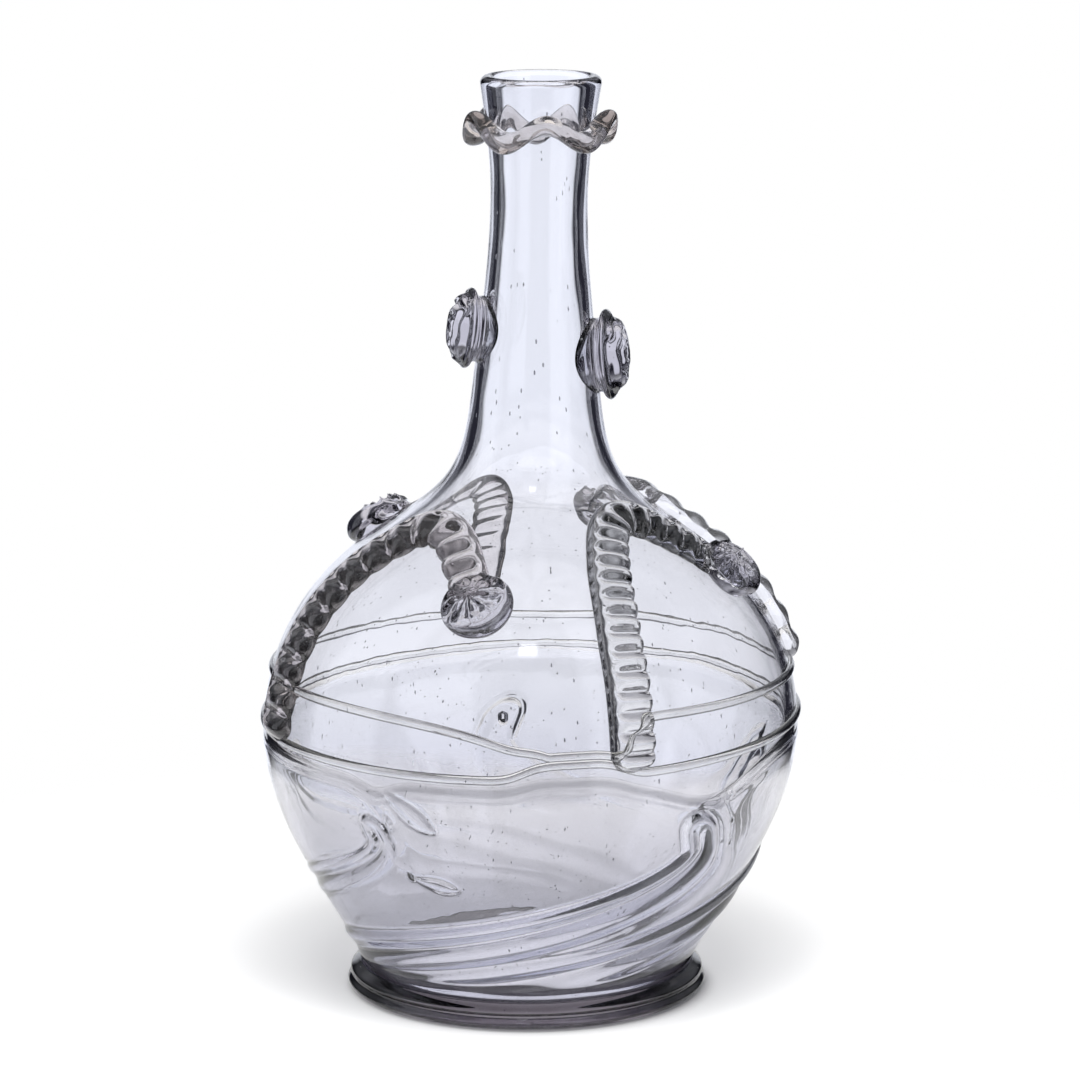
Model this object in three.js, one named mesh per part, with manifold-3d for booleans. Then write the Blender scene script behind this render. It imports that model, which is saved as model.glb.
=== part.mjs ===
import * as THREE from 'three';
import { mergeVertices } from 'three/addons/utils/BufferGeometryUtils.js';
import Module from 'manifold-3d';

// A blown glass serving bottle with hot-applied trimming, in millimetres, +Z up.
// It stands on z = 0, the bowl is centred on the origin's axis, and the view shown first is from -Y.
// Angles round the bottle start at the front and grow towards +X.

// Outline of the finished glass
const HEEL_RADIUS = 42.5;
const HEEL_HEIGHT = 6;
const BELLY_RADIUS = 69.7;
const BELLY_HEIGHT = 71;
const DOME_RISE = 62;
const SHOULDER_HEIGHT = 120;
const NECK_LENGTH = 120;
const NECK_ROOT_RADIUS = 16.45;
const NECK_ROOT_RISE = 40;
const NECK_TAPER = 0.1;
const WAIST_RADIUS = 12.5;
const WAIST_DROP = 31;
const MOUTH_RADIUS = 15.9;
const MOUTH_FLARE = 0.155;

// How far the outline's handles reach, as shares of each stretch
const HEEL_REACH_OUT = 0.36;
const HEEL_REACH_UP = 0.33;
const BELLY_REACH = 0.615;
const SHOULDER_REACH = 0.35;
const NECK_ROOT_REACH = 0.6;
const NECK_REACH = 0.37;
const MOUTH_REACH = 0.34;

// Walls, fits and the maker's lean
const WALL = 2.6;
const BASE_WALL = 4.5;
const KICK_HEIGHT = 15;
const KICK_RADIUS = 33;
const KICK_CROWN_REACH = 0.45;
const KICK_FOOT_REACH = 0.7;
const FLOOR_REACH = 0.55;
const HEEL_LIFT = 3.2;
const CLEARANCE = 0.3;
const SEAT_DEPTH = 1;
const LEAN = 0.0163;
const UPRIGHT_HEIGHT = 78;

// Foot ring
const FOOT_RADIUS = 47.1;
const FOOT_BORE_RADIUS = 35.5;
const FOOT_HEIGHT = 7;
const FOOT_EDGE = 2.4;
const FOOT_ROLL = 0.3;
const FOOT_SHOULDER = 0.7;

// Second gather, the thick lower jacket whose twisted folds end in hooked fingers
const GATHER_WALL = 2.4;
const GATHER_LAP = 4;
const GATHER_FADE = 18;
const RIM_PROUD = 1.2;
const RIM_GAP = 1.6;
const RIM_NIP_DEPTH = 4.5;
const RIM_NIP_SPREAD = 9;
const FOLD_COUNT = 5;
const FOLD_START_ANGLE = 41;
const FOLD_TOP = 55;
const FOLD_LEAN = 1.2;
const TWIST_START = 50;
const TWIST_RATE = 0.153;
const TWIST_POWER = 1.85;
const RIDGE_APART = 4.4;
const RIDGE_WIDTH = 2.8;
const RIDGE_LIFT = 1.8;
const GROOVE_WIDTH = 2;
const GROOVE_DEPTH = 0.5;
const FOLD_FAINT = 0.35;
const FOLD_FAINT_HEIGHT = 10;
const FOLD_FADE_RISE = 30;

// Two girdle threads, nipped together at one place
const THREAD_WIDTH = 2.4;
const THREAD_PROUD = 1.3;
const LOWER_THREAD_HEIGHT = 74.3;
const LOWER_THREAD_SWAY = 2.6;
const LOWER_THREAD_LOW_ANGLE = -25;
const UPPER_THREAD_HEIGHT = 86.3;
const NIP_ANGLE = 11;
const NIP_RISE = 2.6;
const NIP_SPREAD = 9;
const NIP_APPROACH = 20;
const NIP_RETURN = 8;

// Four crimped trails on the shoulder, each curling into a stamped prunt
const TRAIL_WIDTH = 11.8;
const BROAD_TRAIL_WIDTH = 13.4;
const TRAIL_END_WIDTH = 10.8;
const TRAIL_THICKNESS = 4.2;
const TRAIL_TOE = 0.42;
const TOE_ROUNDNESS = 2.4;
const CRIMP_DEPTH = 1.8;
const CRIMP_PITCH = 7.2;
const CRIMP_SIDE = 0.9;
// Route of a trail: share of its turn round the bottle, and share of its rise to the crook
const TRAIL_ROUTE = [[0, 0], [0, 0.36], [0.01, 0.62], [0.08, 0.84], [0.25, 0.97],
  [0.46, 1], [0.68, 0.96], [0.86, 0.86], [1, 0.72]];
const TRAILS = [
  { side: 'front_right', start: 'lower', width: TRAIL_WIDTH, angle: 21.5, turn: 50.5, crook: 128.2,
    pruntRadius: 8.6 },
  { side: 'back_right', start: 'upper', width: TRAIL_WIDTH, angle: 96, turn: 59.5, crook: 127.6,
    pruntRadius: 8.8 },
  { side: 'back_left', start: 'upper', width: TRAIL_WIDTH, angle: 193.5, turn: 43, crook: 128.6,
    pruntRadius: 9.2 },
  { side: 'front_left', start: 'lower', width: BROAD_TRAIL_WIDTH, angle: 293, turn: 52.5, crook: 126,
    pruntRadius: 9.2 },
];
const SHOULDER_PRUNT_HEIGHT = 7.6;
const SHOULDER_PRUNT_FOOT = 0.8;
// A shoulder prunt's outline, as shares of its radius and height
const SHOULDER_PRUNT_RINGS = [[0.88, 0.12], [1, 0.4], [0.97, 0.62], [0.84, 0.83],
  [0.62, 0.95], [0.36, 1], [0.12, 0.95]];
const PETAL_COUNT = 9;
const PETAL_DEPTH = 0.9;

// Two stamped prunts on the neck
const NECK_PRUNT_HEIGHT = 8;
const NECK_PRUNT_PAD = 0.8;
// A neck prunt's outline, as shares of its radius and height: flared rim, then wavy ridges
const NECK_PRUNT_RINGS = [[0.78, 0.25], [0.95, 0.37], [1, 0.46], [0.88, 0.54], [0.79, 0.69],
  [0.7, 0.69], [0.59, 0.85], [0.5, 0.83], [0.35, 0.96], [0.15, 0.98]];
const STAMP_COUNT = 7;
const STAMP_DEPTH = 0.35;
const NECK_PRUNTS = [
  { side: 'left', angle: -80, share: 0.457, radius: 10.4 },
  { side: 'right', angle: 80, share: 0.4, radius: 11.7 },
];

// Frilled collar under the mouth
const COLLAR_DROP = 13.5;
const COLLAR_RADIUS = 19.9;
const COLLAR_THICKNESS = 5.2;
const COLLAR_WAVES = 5;
const COLLAR_WAVE = 3.3;
const COLLAR_ROOT_WAVE = 0.45;
const COLLAR_CREST_ANGLE = 5;

// How finely the round forms are cut into faces
const OUTSIDE_ERROR = 0.2;
const INSIDE_ERROR = 0.7;
const VESSEL_SEGMENTS = 29;
const SECTOR_SEGMENTS = 14;
const SECTOR_CROWDING = 0.35;
const GATHER_STEPS = 16;
const GATHER_BACK_STEPS = 6;
const SIDE_STEPS = 200;
const FLOOR_EDGE_STEPS = 8;
const CURVE_STEPS = 5;
const LIP_STEPS = 4;
const RING_SEGMENTS = 46;
const PRUNT_SEGMENTS = 16;
const CRIMP_STEPS = 3;

const MOUTH_HEIGHT = SHOULDER_HEIGHT + NECK_LENGTH;
const DEGREE = Math.PI / 180;

const wasm = await Module();
wasm.setup();

// The outline runs from the heel to the mouth as radius and height.
function glassOutline() {
  const domeAngle = Math.asin((SHOULDER_HEIGHT - BELLY_HEIGHT) / DOME_RISE);
  const shoulderRadius = BELLY_RADIUS * Math.cos(domeAngle);
  const shoulderSlope = BELLY_RADIUS * Math.tan(domeAngle) / DOME_RISE;
  const rootHeight = SHOULDER_HEIGHT + NECK_ROOT_RISE;
  const waistHeight = MOUTH_HEIGHT - WAIST_DROP;
  const reach = (from, to, share) => from + (to - from) * share;
  const outline = new THREE.Path();
  outline.moveTo(HEEL_RADIUS, HEEL_HEIGHT);
  outline.bezierCurveTo(
    reach(HEEL_RADIUS, BELLY_RADIUS, HEEL_REACH_OUT), reach(HEEL_HEIGHT, BELLY_HEIGHT, HEEL_REACH_UP),
    BELLY_RADIUS, reach(HEEL_HEIGHT, BELLY_HEIGHT, BELLY_REACH), BELLY_RADIUS, BELLY_HEIGHT);
  outline.absellipse(0, BELLY_HEIGHT, BELLY_RADIUS, DOME_RISE, 0, domeAngle, false);
  const handle = SHOULDER_REACH * NECK_ROOT_RISE;
  const lowerHandle = NECK_ROOT_REACH * NECK_ROOT_RISE;
  outline.bezierCurveTo(
    shoulderRadius - shoulderSlope * handle, SHOULDER_HEIGHT + handle,
    NECK_ROOT_RADIUS + NECK_TAPER * lowerHandle, rootHeight - lowerHandle,
    NECK_ROOT_RADIUS, rootHeight);
  const upperHandle = NECK_REACH * (waistHeight - rootHeight);
  outline.bezierCurveTo(
    NECK_ROOT_RADIUS - NECK_TAPER * upperHandle, rootHeight + upperHandle,
    WAIST_RADIUS, waistHeight - upperHandle, WAIST_RADIUS, waistHeight);
  const flareHandle = MOUTH_REACH * WAIST_DROP;
  outline.bezierCurveTo(
    WAIST_RADIUS, waistHeight + flareHandle,
    MOUTH_RADIUS - MOUTH_FLARE * flareHandle, MOUTH_HEIGHT - flareHandle,
    MOUTH_RADIUS, MOUTH_HEIGHT);
  return outline;
}

// The outside of the glass, measured by the angle round it and the length climbed along the outline.
class GlassSurface {
  constructor(outline) {
    this.samples = outline.getPoints(120);
    this.climbed = [0];
    for (let i = 1; i < this.samples.length; i += 1) {
      this.climbed.push(this.climbed[i - 1] + this.samples[i].distanceTo(this.samples[i - 1]));
    }
    this.length = this.climbed.at(-1);
  }

  search(list, value, read) {
    let low = 0;
    let high = list.length - 1;
    while (high - low > 1) {
      const middle = (low + high) >> 1;
      if (read(list[middle]) <= value) low = middle;
      else high = middle;
    }
    return low;
  }

  climbAt(height) {
    const i = this.search(this.samples, height, (sample) => sample.y);
    const share = (height - this.samples[i].y) / (this.samples[i + 1].y - this.samples[i].y);
    return this.climbed[i] + share * (this.climbed[i + 1] - this.climbed[i]);
  }

  profile(climb, lift) {
    const i = this.search(this.climbed, climb, (value) => value);
    const step = this.climbed[i + 1] - this.climbed[i];
    const share = (climb - this.climbed[i]) / step;
    const along = this.samples[i + 1].clone().sub(this.samples[i]).divideScalar(step);
    const place = this.samples[i].clone().lerp(this.samples[i + 1], share);
    return new THREE.Vector2(place.x + along.y * lift, place.y - along.x * lift);
  }

  point(angle, climb, lift) {
    const place = this.profile(climb, lift);
    return roundTheAxis(angle, place.x, place.y);
  }

  // The frame that a piece stuck on the glass sits in: across, up the glass, and outwards.
  frame(angle, climb) {
    const origin = this.point(angle, climb, 0);
    const out = this.point(angle, climb, 1).sub(origin);
    const across = new THREE.Vector3(Math.cos(angle * DEGREE), Math.sin(angle * DEGREE), 0);
    const up = new THREE.Vector3().crossVectors(out, across);
    return { origin, across, up, out };
  }
}

function roundTheAxis(angle, radius, height) {
  return new THREE.Vector3(
    radius * Math.sin(angle * DEGREE), -radius * Math.cos(angle * DEGREE), height);
}

const surface = new GlassSurface(glassOutline());

function smooth(value) {
  const t = THREE.MathUtils.clamp(value, 0, 1);
  return t * t * (3 - 2 * t);
}

function bell(value) {
  return Math.exp(-value * value);
}

// Shortest way round from one angle to another, in degrees.
function angleBetween(from, to) {
  return THREE.MathUtils.euclideanModulo(to - from + 180, 360) - 180;
}

// A closed body skinned over rings of points. Open ends are closed by a fan on the ring's middle.
function skin(rings, closed) {
  const count = rings[0].length;
  const points = rings.flat();
  const faces = [];
  const spans = closed ? rings.length : rings.length - 1;
  for (let i = 0; i < spans; i += 1) {
    const here = i * count;
    const next = ((i + 1) % rings.length) * count;
    for (let j = 0; j < count; j += 1) {
      const k = (j + 1) % count;
      faces.push(here + j, next + j, next + k, here + j, next + k, here + k);
    }
  }
  if (!closed) {
    const middle = (ring) => ring.reduce((sum, p) => sum.add(p), new THREE.Vector3())
      .divideScalar(ring.length);
    const start = points.push(middle(rings[0])) - 1;
    const end = points.push(middle(rings.at(-1))) - 1;
    const last = (rings.length - 1) * count;
    for (let j = 0; j < count; j += 1) {
      const k = (j + 1) % count;
      faces.push(start, j, k, end, last + k, last + j);
    }
  }
  const geometry = new THREE.BufferGeometry().setFromPoints(points);
  geometry.setIndex(faces);
  return geometry;
}

function toSolid(geometry) {
  const bare = new THREE.BufferGeometry()
    .setAttribute('position', geometry.getAttribute('position'))
    .setIndex(geometry.index);
  const merged = mergeVertices(bare, 1e-4);
  return new wasm.Manifold(new wasm.Mesh({
    numProp: 3,
    vertProperties: merged.getAttribute('position').array,
    triVerts: new Uint32Array(merged.index.array),
  }));
}

function toGeometry(solid) {
  const mesh = solid.getMesh();
  const geometry = new THREE.BufferGeometry();
  geometry.setAttribute('position', new THREE.BufferAttribute(mesh.vertProperties, 3));
  geometry.setIndex(new THREE.BufferAttribute(mesh.triVerts, 1));
  return geometry;
}

function cut(geometry, tools) {
  return toGeometry(tools.reduce((solid, tool) => solid.subtract(toSolid(tool)), toSolid(geometry)));
}

// Drops the points of a line that its neighbours already give within the chord error.
function thinned(line, allowed) {
  const start = line[0];
  const run = line.at(-1).clone().sub(start);
  let worst = 0;
  let bend = 0;
  for (let i = 1; i < line.length - 1; i += 1) {
    const error = Math.abs(run.cross(line[i].clone().sub(start))) / run.length();
    if (error > worst) {
      worst = error;
      bend = i;
    }
  }
  if (worst < allowed) return [start, line.at(-1)];
  return [...thinned(line.slice(0, bend + 1), allowed),
    ...thinned(line.slice(bend), allowed).slice(1)];
}

// Heights of the girdle threads at an angle round the bottle
function lowerThreadHeight(angle) {
  const sway = LOWER_THREAD_SWAY * Math.cos((angle - LOWER_THREAD_LOW_ANGLE) * DEGREE);
  const nip = NIP_RISE * bell(angleBetween(NIP_ANGLE, angle) / NIP_SPREAD);
  return LOWER_THREAD_HEIGHT - sway + nip;
}

function upperThreadHeight(angle) {
  const from = angleBetween(NIP_ANGLE, angle);
  const nipped = lowerThreadHeight(NIP_ANGLE) + THREAD_WIDTH + CLEARANCE;
  const pull = bell(from / (from < 0 ? NIP_APPROACH : NIP_RETURN));
  return UPPER_THREAD_HEIGHT - (UPPER_THREAD_HEIGHT - nipped) * pull;
}

// The gather sinks the vessel's own wall below the girdle, fading out just above its rim.
const RECESS_TOP = LOWER_THREAD_HEIGHT - LOWER_THREAD_SWAY - THREAD_WIDTH / 2 + GATHER_LAP;

function recess(height) {
  return (GATHER_WALL + CLEARANCE) * smooth((RECESS_TOP - height) / GATHER_FADE);
}

function foldAngles() {
  return Array.from({ length: FOLD_COUNT }, (_, i) => FOLD_START_ANGLE + i * 360 / FOLD_COUNT);
}

function rimHeight(angle) {
  const under = lowerThreadHeight(angle) - THREAD_WIDTH / 2 - CLEARANCE - RIM_GAP;
  const nips = foldAngles().map((tip) => bell(angleBetween(tip, angle) / RIM_NIP_SPREAD));
  return under - RIM_NIP_DEPTH * Math.max(...nips);
}

// How far the folds stand out of the gather at a place on it. Each is a pair of ridges that join
// round its tip, with a groove between them, and runs round the bottle as it goes down.
function foldLift(angle, height, radius) {
  const drop = Math.max(TWIST_START - height, 0);
  const back = FOLD_LEAN - TWIST_RATE * drop ** TWIST_POWER;
  const turnRate = TWIST_RATE * TWIST_POWER * drop ** (TWIST_POWER - 1);
  const slant = Math.hypot(1, radius * turnRate * DEGREE);
  const above = Math.max(height - FOLD_TOP, 0);
  const full = smooth((height - FOLD_FAINT_HEIGHT) / FOLD_FADE_RISE);
  let lift = 0;
  for (const tip of foldAngles()) {
    const aside = radius * DEGREE * angleBetween(tip + back, angle) / slant;
    const away = Math.hypot(aside, above);
    const ridges = RIDGE_LIFT * bell((away - RIDGE_APART) / RIDGE_WIDTH);
    lift += ridges - GROOVE_DEPTH * bell(away / GROOVE_WIDTH);
  }
  return lift * THREE.MathUtils.lerp(FOLD_FAINT, 1, full);
}

// Vessel: kick, heel, outside, lip, inside and floor in one revolved wall
function heelCurve() {
  const outside = HEEL_RADIUS - recess(HEEL_HEIGHT);
  return new THREE.CubicBezierCurve(
    new THREE.Vector2(KICK_RADIUS, HEEL_LIFT),
    new THREE.Vector2((KICK_RADIUS + 2 * outside) / 3, HEEL_LIFT),
    new THREE.Vector2(outside - (HEEL_HEIGHT - HEEL_LIFT) / 2, (HEEL_LIFT + HEEL_HEIGHT) / 2),
    new THREE.Vector2(outside, HEEL_HEIGHT));
}

// One side of the vessel's wall, at a depth under the finished glass
function sideLine(depth) {
  return Array.from({ length: SIDE_STEPS + 1 }, (_, i) => {
    const climb = (surface.length - WALL / 2) * i / SIDE_STEPS;
    return surface.profile(climb, -recess(surface.profile(climb, 0).y) - depth);
  });
}

// The vessel's underside and outside, from the middle of the kick to the lip
function outerLine() {
  const kick = new THREE.CubicBezierCurve(
    new THREE.Vector2(0, KICK_HEIGHT),
    new THREE.Vector2(KICK_RADIUS * KICK_CROWN_REACH, KICK_HEIGHT),
    new THREE.Vector2(KICK_RADIUS * KICK_FOOT_REACH, HEEL_LIFT),
    new THREE.Vector2(KICK_RADIUS, HEEL_LIFT));
  return [...kick.getPoints(CURVE_STEPS), ...heelCurve().getPoints(CURVE_STEPS).slice(1),
    ...thinned(sideLine(0), OUTSIDE_ERROR).slice(1)];
}

// The vessel's outside grown by the clearance, which seats every piece that is stuck on it
function vesselSpace() {
  const line = outerLine();
  const grown = line.map((place, i) => {
    const run = line[Math.min(i + 1, line.length - 1)].clone().sub(line[Math.max(i - 1, 0)]);
    const out = new THREE.Vector2(run.y, -run.x).normalize();
    return place.clone().addScaledVector(out, CLEARANCE);
  });
  grown[0].x = 0;
  return revolved([...grown, new THREE.Vector2(0, grown.at(-1).y)]);
}

function vesselGeometry() {
  const inside = thinned(sideLine(WALL).slice(FLOOR_EDGE_STEPS), INSIDE_ERROR).reverse();
  const lip = new THREE.EllipseCurve(
    MOUTH_RADIUS - WALL / 2, MOUTH_HEIGHT - WALL / 2, WALL / 2, WALL / 2, 0, Math.PI, false);
  const floor = new THREE.CubicBezierCurve(
    inside.at(-1),
    new THREE.Vector2(inside.at(-1).x - WALL, HEEL_LIFT + BASE_WALL),
    new THREE.Vector2(KICK_RADIUS * FLOOR_REACH, KICK_HEIGHT + BASE_WALL),
    new THREE.Vector2(0, KICK_HEIGHT + BASE_WALL));
  return revolved([...outerLine().slice(0, -1), ...lip.getPoints(LIP_STEPS), ...inside.slice(1),
    ...floor.getPoints(CURVE_STEPS).slice(1)]);
}

// A profile of radius and height turned round the bottle's axis
function revolved(profile) {
  return new THREE.LatheGeometry(profile, VESSEL_SEGMENTS).rotateX(Math.PI / 2);
}

function footGeometry() {
  const shoulder = surface.profile(surface.climbAt(FOOT_HEIGHT), 1).x;
  const edge = new THREE.SplineCurve([
    new THREE.Vector2(FOOT_RADIUS - FOOT_EDGE, 0),
    new THREE.Vector2(FOOT_RADIUS - FOOT_ROLL * FOOT_EDGE, FOOT_ROLL * FOOT_EDGE),
    new THREE.Vector2(FOOT_RADIUS, FOOT_EDGE),
    new THREE.Vector2(FOOT_RADIUS - FOOT_ROLL * FOOT_EDGE, FOOT_SHOULDER * FOOT_HEIGHT),
    new THREE.Vector2(shoulder, FOOT_HEIGHT)]);
  return revolved([
    new THREE.Vector2(FOOT_BORE_RADIUS, 0), ...edge.getPoints(CURVE_STEPS + 1),
    new THREE.Vector2(FOOT_BORE_RADIUS, FOOT_HEIGHT), new THREE.Vector2(FOOT_BORE_RADIUS, 0)]);
}

// Angles round the gather, closest together across each finger
function gatherAngles() {
  const halfSector = 180 / FOLD_COUNT;
  const offsets = Array.from({ length: SECTOR_SEGMENTS }, (_, i) => {
    const across = 2 * i / SECTOR_SEGMENTS - 1;
    return halfSector * THREE.MathUtils.lerp(across, across ** 3, SECTOR_CROWDING);
  });
  return foldAngles().flatMap((tip) => offsets.map((offset) => tip + offset));
}

function gatherGeometry() {
  const behind = -GATHER_WALL - CLEARANCE - SEAT_DEPTH;
  const bottom = surface.climbAt(FOOT_HEIGHT + CLEARANCE);
  const rings = [];
  for (const angle of gatherAngles()) {
    const top = surface.climbAt(rimHeight(angle));
    const ring = [];
    for (let j = 0; j <= GATHER_STEPS; j += 1) {
      const climb = bottom + (top - bottom) * j / GATHER_STEPS;
      const place = surface.profile(climb, 0);
      const rolled = RIM_PROUD * bell((top - climb) / RIM_GAP);
      const foot = smooth((climb - bottom) / FOOT_HEIGHT);
      ring.push(surface.point(angle, climb, rolled + foot * foldLift(angle, place.y, place.x)));
    }
    for (let j = GATHER_BACK_STEPS; j >= 0; j -= 1) {
      const climb = bottom + (top - bottom) * j / GATHER_BACK_STEPS;
      ring.push(surface.point(angle, climb, behind));
    }
    rings.push(ring);
  }
  return skin(rings, true);
}

// A girdle thread, or the space that it needs when it is grown by a clearance
function threadGeometry(heightAt, grow) {
  const half = THREAD_WIDTH / 2 + grow;
  const crown = THREAD_PROUD + grow;
  const sag = BELLY_RADIUS * (1 - Math.cos(Math.PI / RING_SEGMENTS));
  const foot = CLEARANCE + sag - grow;
  const section = [[-half, foot], [-half, crown * 0.55], [-half * 0.5, crown],
    [half * 0.5, crown], [half, crown * 0.55], [half, foot]];
  const rings = [];
  for (let i = 0; i < RING_SEGMENTS; i += 1) {
    const angle = i * 360 / RING_SEGMENTS;
    const climb = surface.climbAt(heightAt(angle));
    rings.push(section.map(([up, lift]) => surface.point(angle, climb + up, lift)));
  }
  return skin(rings, true);
}

// The trail's route over the glass, in angle and climb
function trailRoute(trail) {
  const threadHeight = trail.start === 'upper' ? upperThreadHeight : lowerThreadHeight;
  const start = threadHeight(trail.angle) + THREAD_WIDTH / 2 + CLEARANCE;
  const rise = trail.crook - start;
  return new THREE.CatmullRomCurve3(TRAIL_ROUTE.map(([turn, climb]) => new THREE.Vector3(
    trail.angle + turn * trail.turn, surface.climbAt(start + climb * rise), 0)));
}

function trailGeometry(trail) {
  const route = trailRoute(trail);
  const places = route.getPoints(200);
  const lengths = [0];
  const flat = (place) => surface.point(place.x, place.y, 0);
  for (let i = 1; i < places.length; i += 1) {
    lengths.push(lengths[i - 1] + flat(places[i]).distanceTo(flat(places[i - 1])));
  }
  const length = lengths.at(-1);
  const crimps = Math.round(length / CRIMP_PITCH);
  const steps = crimps * CRIMP_STEPS;
  const rings = [];
  for (let i = 0; i <= steps; i += 1) {
    const along = length * i / steps;
    const index = Math.min(surface.search(lengths, along, (value) => value), places.length - 2);
    const share = (along - lengths[index]) / (lengths[index + 1] - lengths[index]);
    const place = places[index].clone().lerp(places[index + 1], share);
    const radius = surface.profile(place.y, 0).x;
    const heading = places[index + 1].clone().sub(places[index]);
    const side = new THREE.Vector2(heading.y, -heading.x * DEGREE * radius).normalize();
    const crest = Math.sin(Math.PI * i / CRIMP_STEPS) ** 2;
    const toe = Math.max(1 - along / (TRAIL_TOE * trail.width), 0) ** TOE_ROUNDNESS;
    const ends = Math.sqrt(Math.max(1 - toe, 0.1));
    const width = THREE.MathUtils.lerp(trail.width, TRAIL_END_WIDTH, along / length) * ends;
    const half = width / 2 - CRIMP_SIDE * (1 - crest);
    const crown = (TRAIL_THICKNESS - CRIMP_DEPTH * (1 - crest)) * ends;
    const section = [[-0.86, -SEAT_DEPTH], [0.86, -SEAT_DEPTH], [1, crown * 0.4],
      [0.5, crown], [-0.5, crown], [-1, crown * 0.4]];
    rings.push(section.map(([aside, lift]) => surface.point(
      place.x + aside * half * side.x / (radius * DEGREE), place.y + aside * half * side.y,
      CLEARANCE + lift)));
  }
  return skin(rings, false);
}

// A prunt: rings of radius and height over the glass, with the stamp's relief, on a fitted underside
function pruntGeometry({ angle, climb, radius, height, foot, rings, relief, grow }) {
  const { origin, across, up, out } = surface.frame(angle, climb);
  const under = surface.profile(climb, 0).x;
  const round = Array.from({ length: PRUNT_SEGMENTS }, (_, i) => i * 2 * Math.PI / PRUNT_SEGMENTS);
  const onGlass = (share) => round.map((turn) => {
    const aside = share * (radius + grow) * Math.sin(turn);
    const along = share * (radius + grow) * Math.cos(turn);
    return surface.point(
      angle + Math.asin(aside / under) / DEGREE, climb + along, -SEAT_DEPTH);
  });
  const overGlass = ([share, rise]) => round.map((turn) => {
    const lift = rise * height + grow + relief(share, turn);
    const far = share * radius + grow;
    return origin.clone().addScaledVector(across, far * Math.sin(turn))
      .addScaledVector(up, far * Math.cos(turn)).addScaledVector(out, lift);
  });
  return skin([onGlass(foot / 2), onGlass(foot), ...rings.map(overGlass)], false);
}

function shoulderPrunt(trail, grow) {
  const end = trailRoute(trail).getPoint(1);
  const petals = (share, turn) => -PETAL_DEPTH * 4 * share * (1 - share)
    * (0.5 + 0.5 * Math.cos(PETAL_COUNT * turn)) * smooth(2.5 - 2.5 * share);
  return pruntGeometry({
    angle: end.x,
    climb: end.y,
    radius: trail.pruntRadius,
    height: SHOULDER_PRUNT_HEIGHT,
    foot: SHOULDER_PRUNT_FOOT,
    rings: SHOULDER_PRUNT_RINGS,
    relief: grow ? () => 0 : petals,
    grow,
  });
}

function neckPrunt(prunt) {
  const waves = (share, turn) => STAMP_DEPTH * smooth(2 * share)
    * Math.cos(STAMP_COUNT * turn) * Math.cos(STAMP_COUNT * share);
  return pruntGeometry({
    angle: prunt.angle,
    climb: surface.climbAt(SHOULDER_HEIGHT + NECK_LENGTH * prunt.share),
    radius: prunt.radius,
    height: NECK_PRUNT_HEIGHT,
    foot: NECK_PRUNT_PAD,
    rings: NECK_PRUNT_RINGS,
    relief: waves,
    grow: 0,
  });
}

function collarGeometry() {
  const level = MOUTH_HEIGHT - COLLAR_DROP;
  const half = COLLAR_THICKNESS / 2;
  const section = [[0, -0.8], [0.35, -0.95], [0.75, -1], [0.97, -0.6], [1, 0.1], [0.9, 0.8],
    [0.6, 1], [0, 0.9]];
  const rings = [];
  for (let i = 0; i < RING_SEGMENTS; i += 1) {
    const angle = i * 360 / RING_SEGMENTS;
    const wave = COLLAR_WAVE * Math.cos(COLLAR_WAVES * (angle - COLLAR_CREST_ANGLE) * DEGREE);
    rings.push(section.map(([share, thick]) => {
      const height = level + wave * THREE.MathUtils.lerp(COLLAR_ROOT_WAVE, 1, share) + half * thick;
      const neck = surface.profile(surface.climbAt(height), CLEARANCE);
      return roundTheAxis(angle, THREE.MathUtils.lerp(neck.x, COLLAR_RADIUS, share), height);
    }));
  }
  return skin(rings, true);
}

// The whole bottle leans a little, as its maker left it, while foot and mouth stay level.
function leaned(geometry) {
  const lean = new THREE.Matrix4().makeShear(0, 0, 0, 0, LEAN, 0);
  lean.setPosition(-LEAN * UPRIGHT_HEIGHT, 0, 0);
  return geometry.applyMatrix4(lean);
}

const finishes = {
  clear: { color: 0xe3e4ee, roughness: 0.03, metalness: 0, transparent: true, opacity: 0.4 },
  thick: { color: 0xb4b0c0, roughness: 0.04, metalness: 0, transparent: true, opacity: 0.55 },
  trail: { color: 0x9c98a4, roughness: 0.05, metalness: 0, transparent: true, opacity: 0.6 },
};

const carafe = new THREE.Group();
carafe.name = 'carafe';

function add(name, finish, geometry) {
  const bare = leaned(geometry);
  bare.computeVertexNormals();
  const mesh = new THREE.Mesh(bare, new THREE.MeshStandardMaterial(finish));
  mesh.name = name;
  carafe.add(mesh);
}

const bottle = vesselSpace();
const threads = [threadGeometry(upperThreadHeight, CLEARANCE),
  threadGeometry(lowerThreadHeight, CLEARANCE)];

add('vessel', finishes.clear, vesselGeometry());
add('second_gather', finishes.clear, cut(gatherGeometry(), [bottle]));
add('foot_ring', finishes.thick, cut(footGeometry(), [bottle]));
add('mouth_collar', finishes.trail, collarGeometry());
add('upper_thread', finishes.clear, threadGeometry(upperThreadHeight, 0));
add('lower_thread', finishes.clear, threadGeometry(lowerThreadHeight, 0));
for (const prunt of NECK_PRUNTS) {
  add('neck_prunt_' + prunt.side, finishes.thick, cut(neckPrunt(prunt), [bottle]));
}
for (const trail of TRAILS) {
  const clear = [bottle, ...threads, shoulderPrunt(trail, CLEARANCE)];
  add('shoulder_trail_' + trail.side, finishes.trail, cut(trailGeometry(trail), clear));
  add('shoulder_prunt_' + trail.side, finishes.thick, cut(shoulderPrunt(trail, 0), [bottle]));
}

export default carafe;
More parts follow.
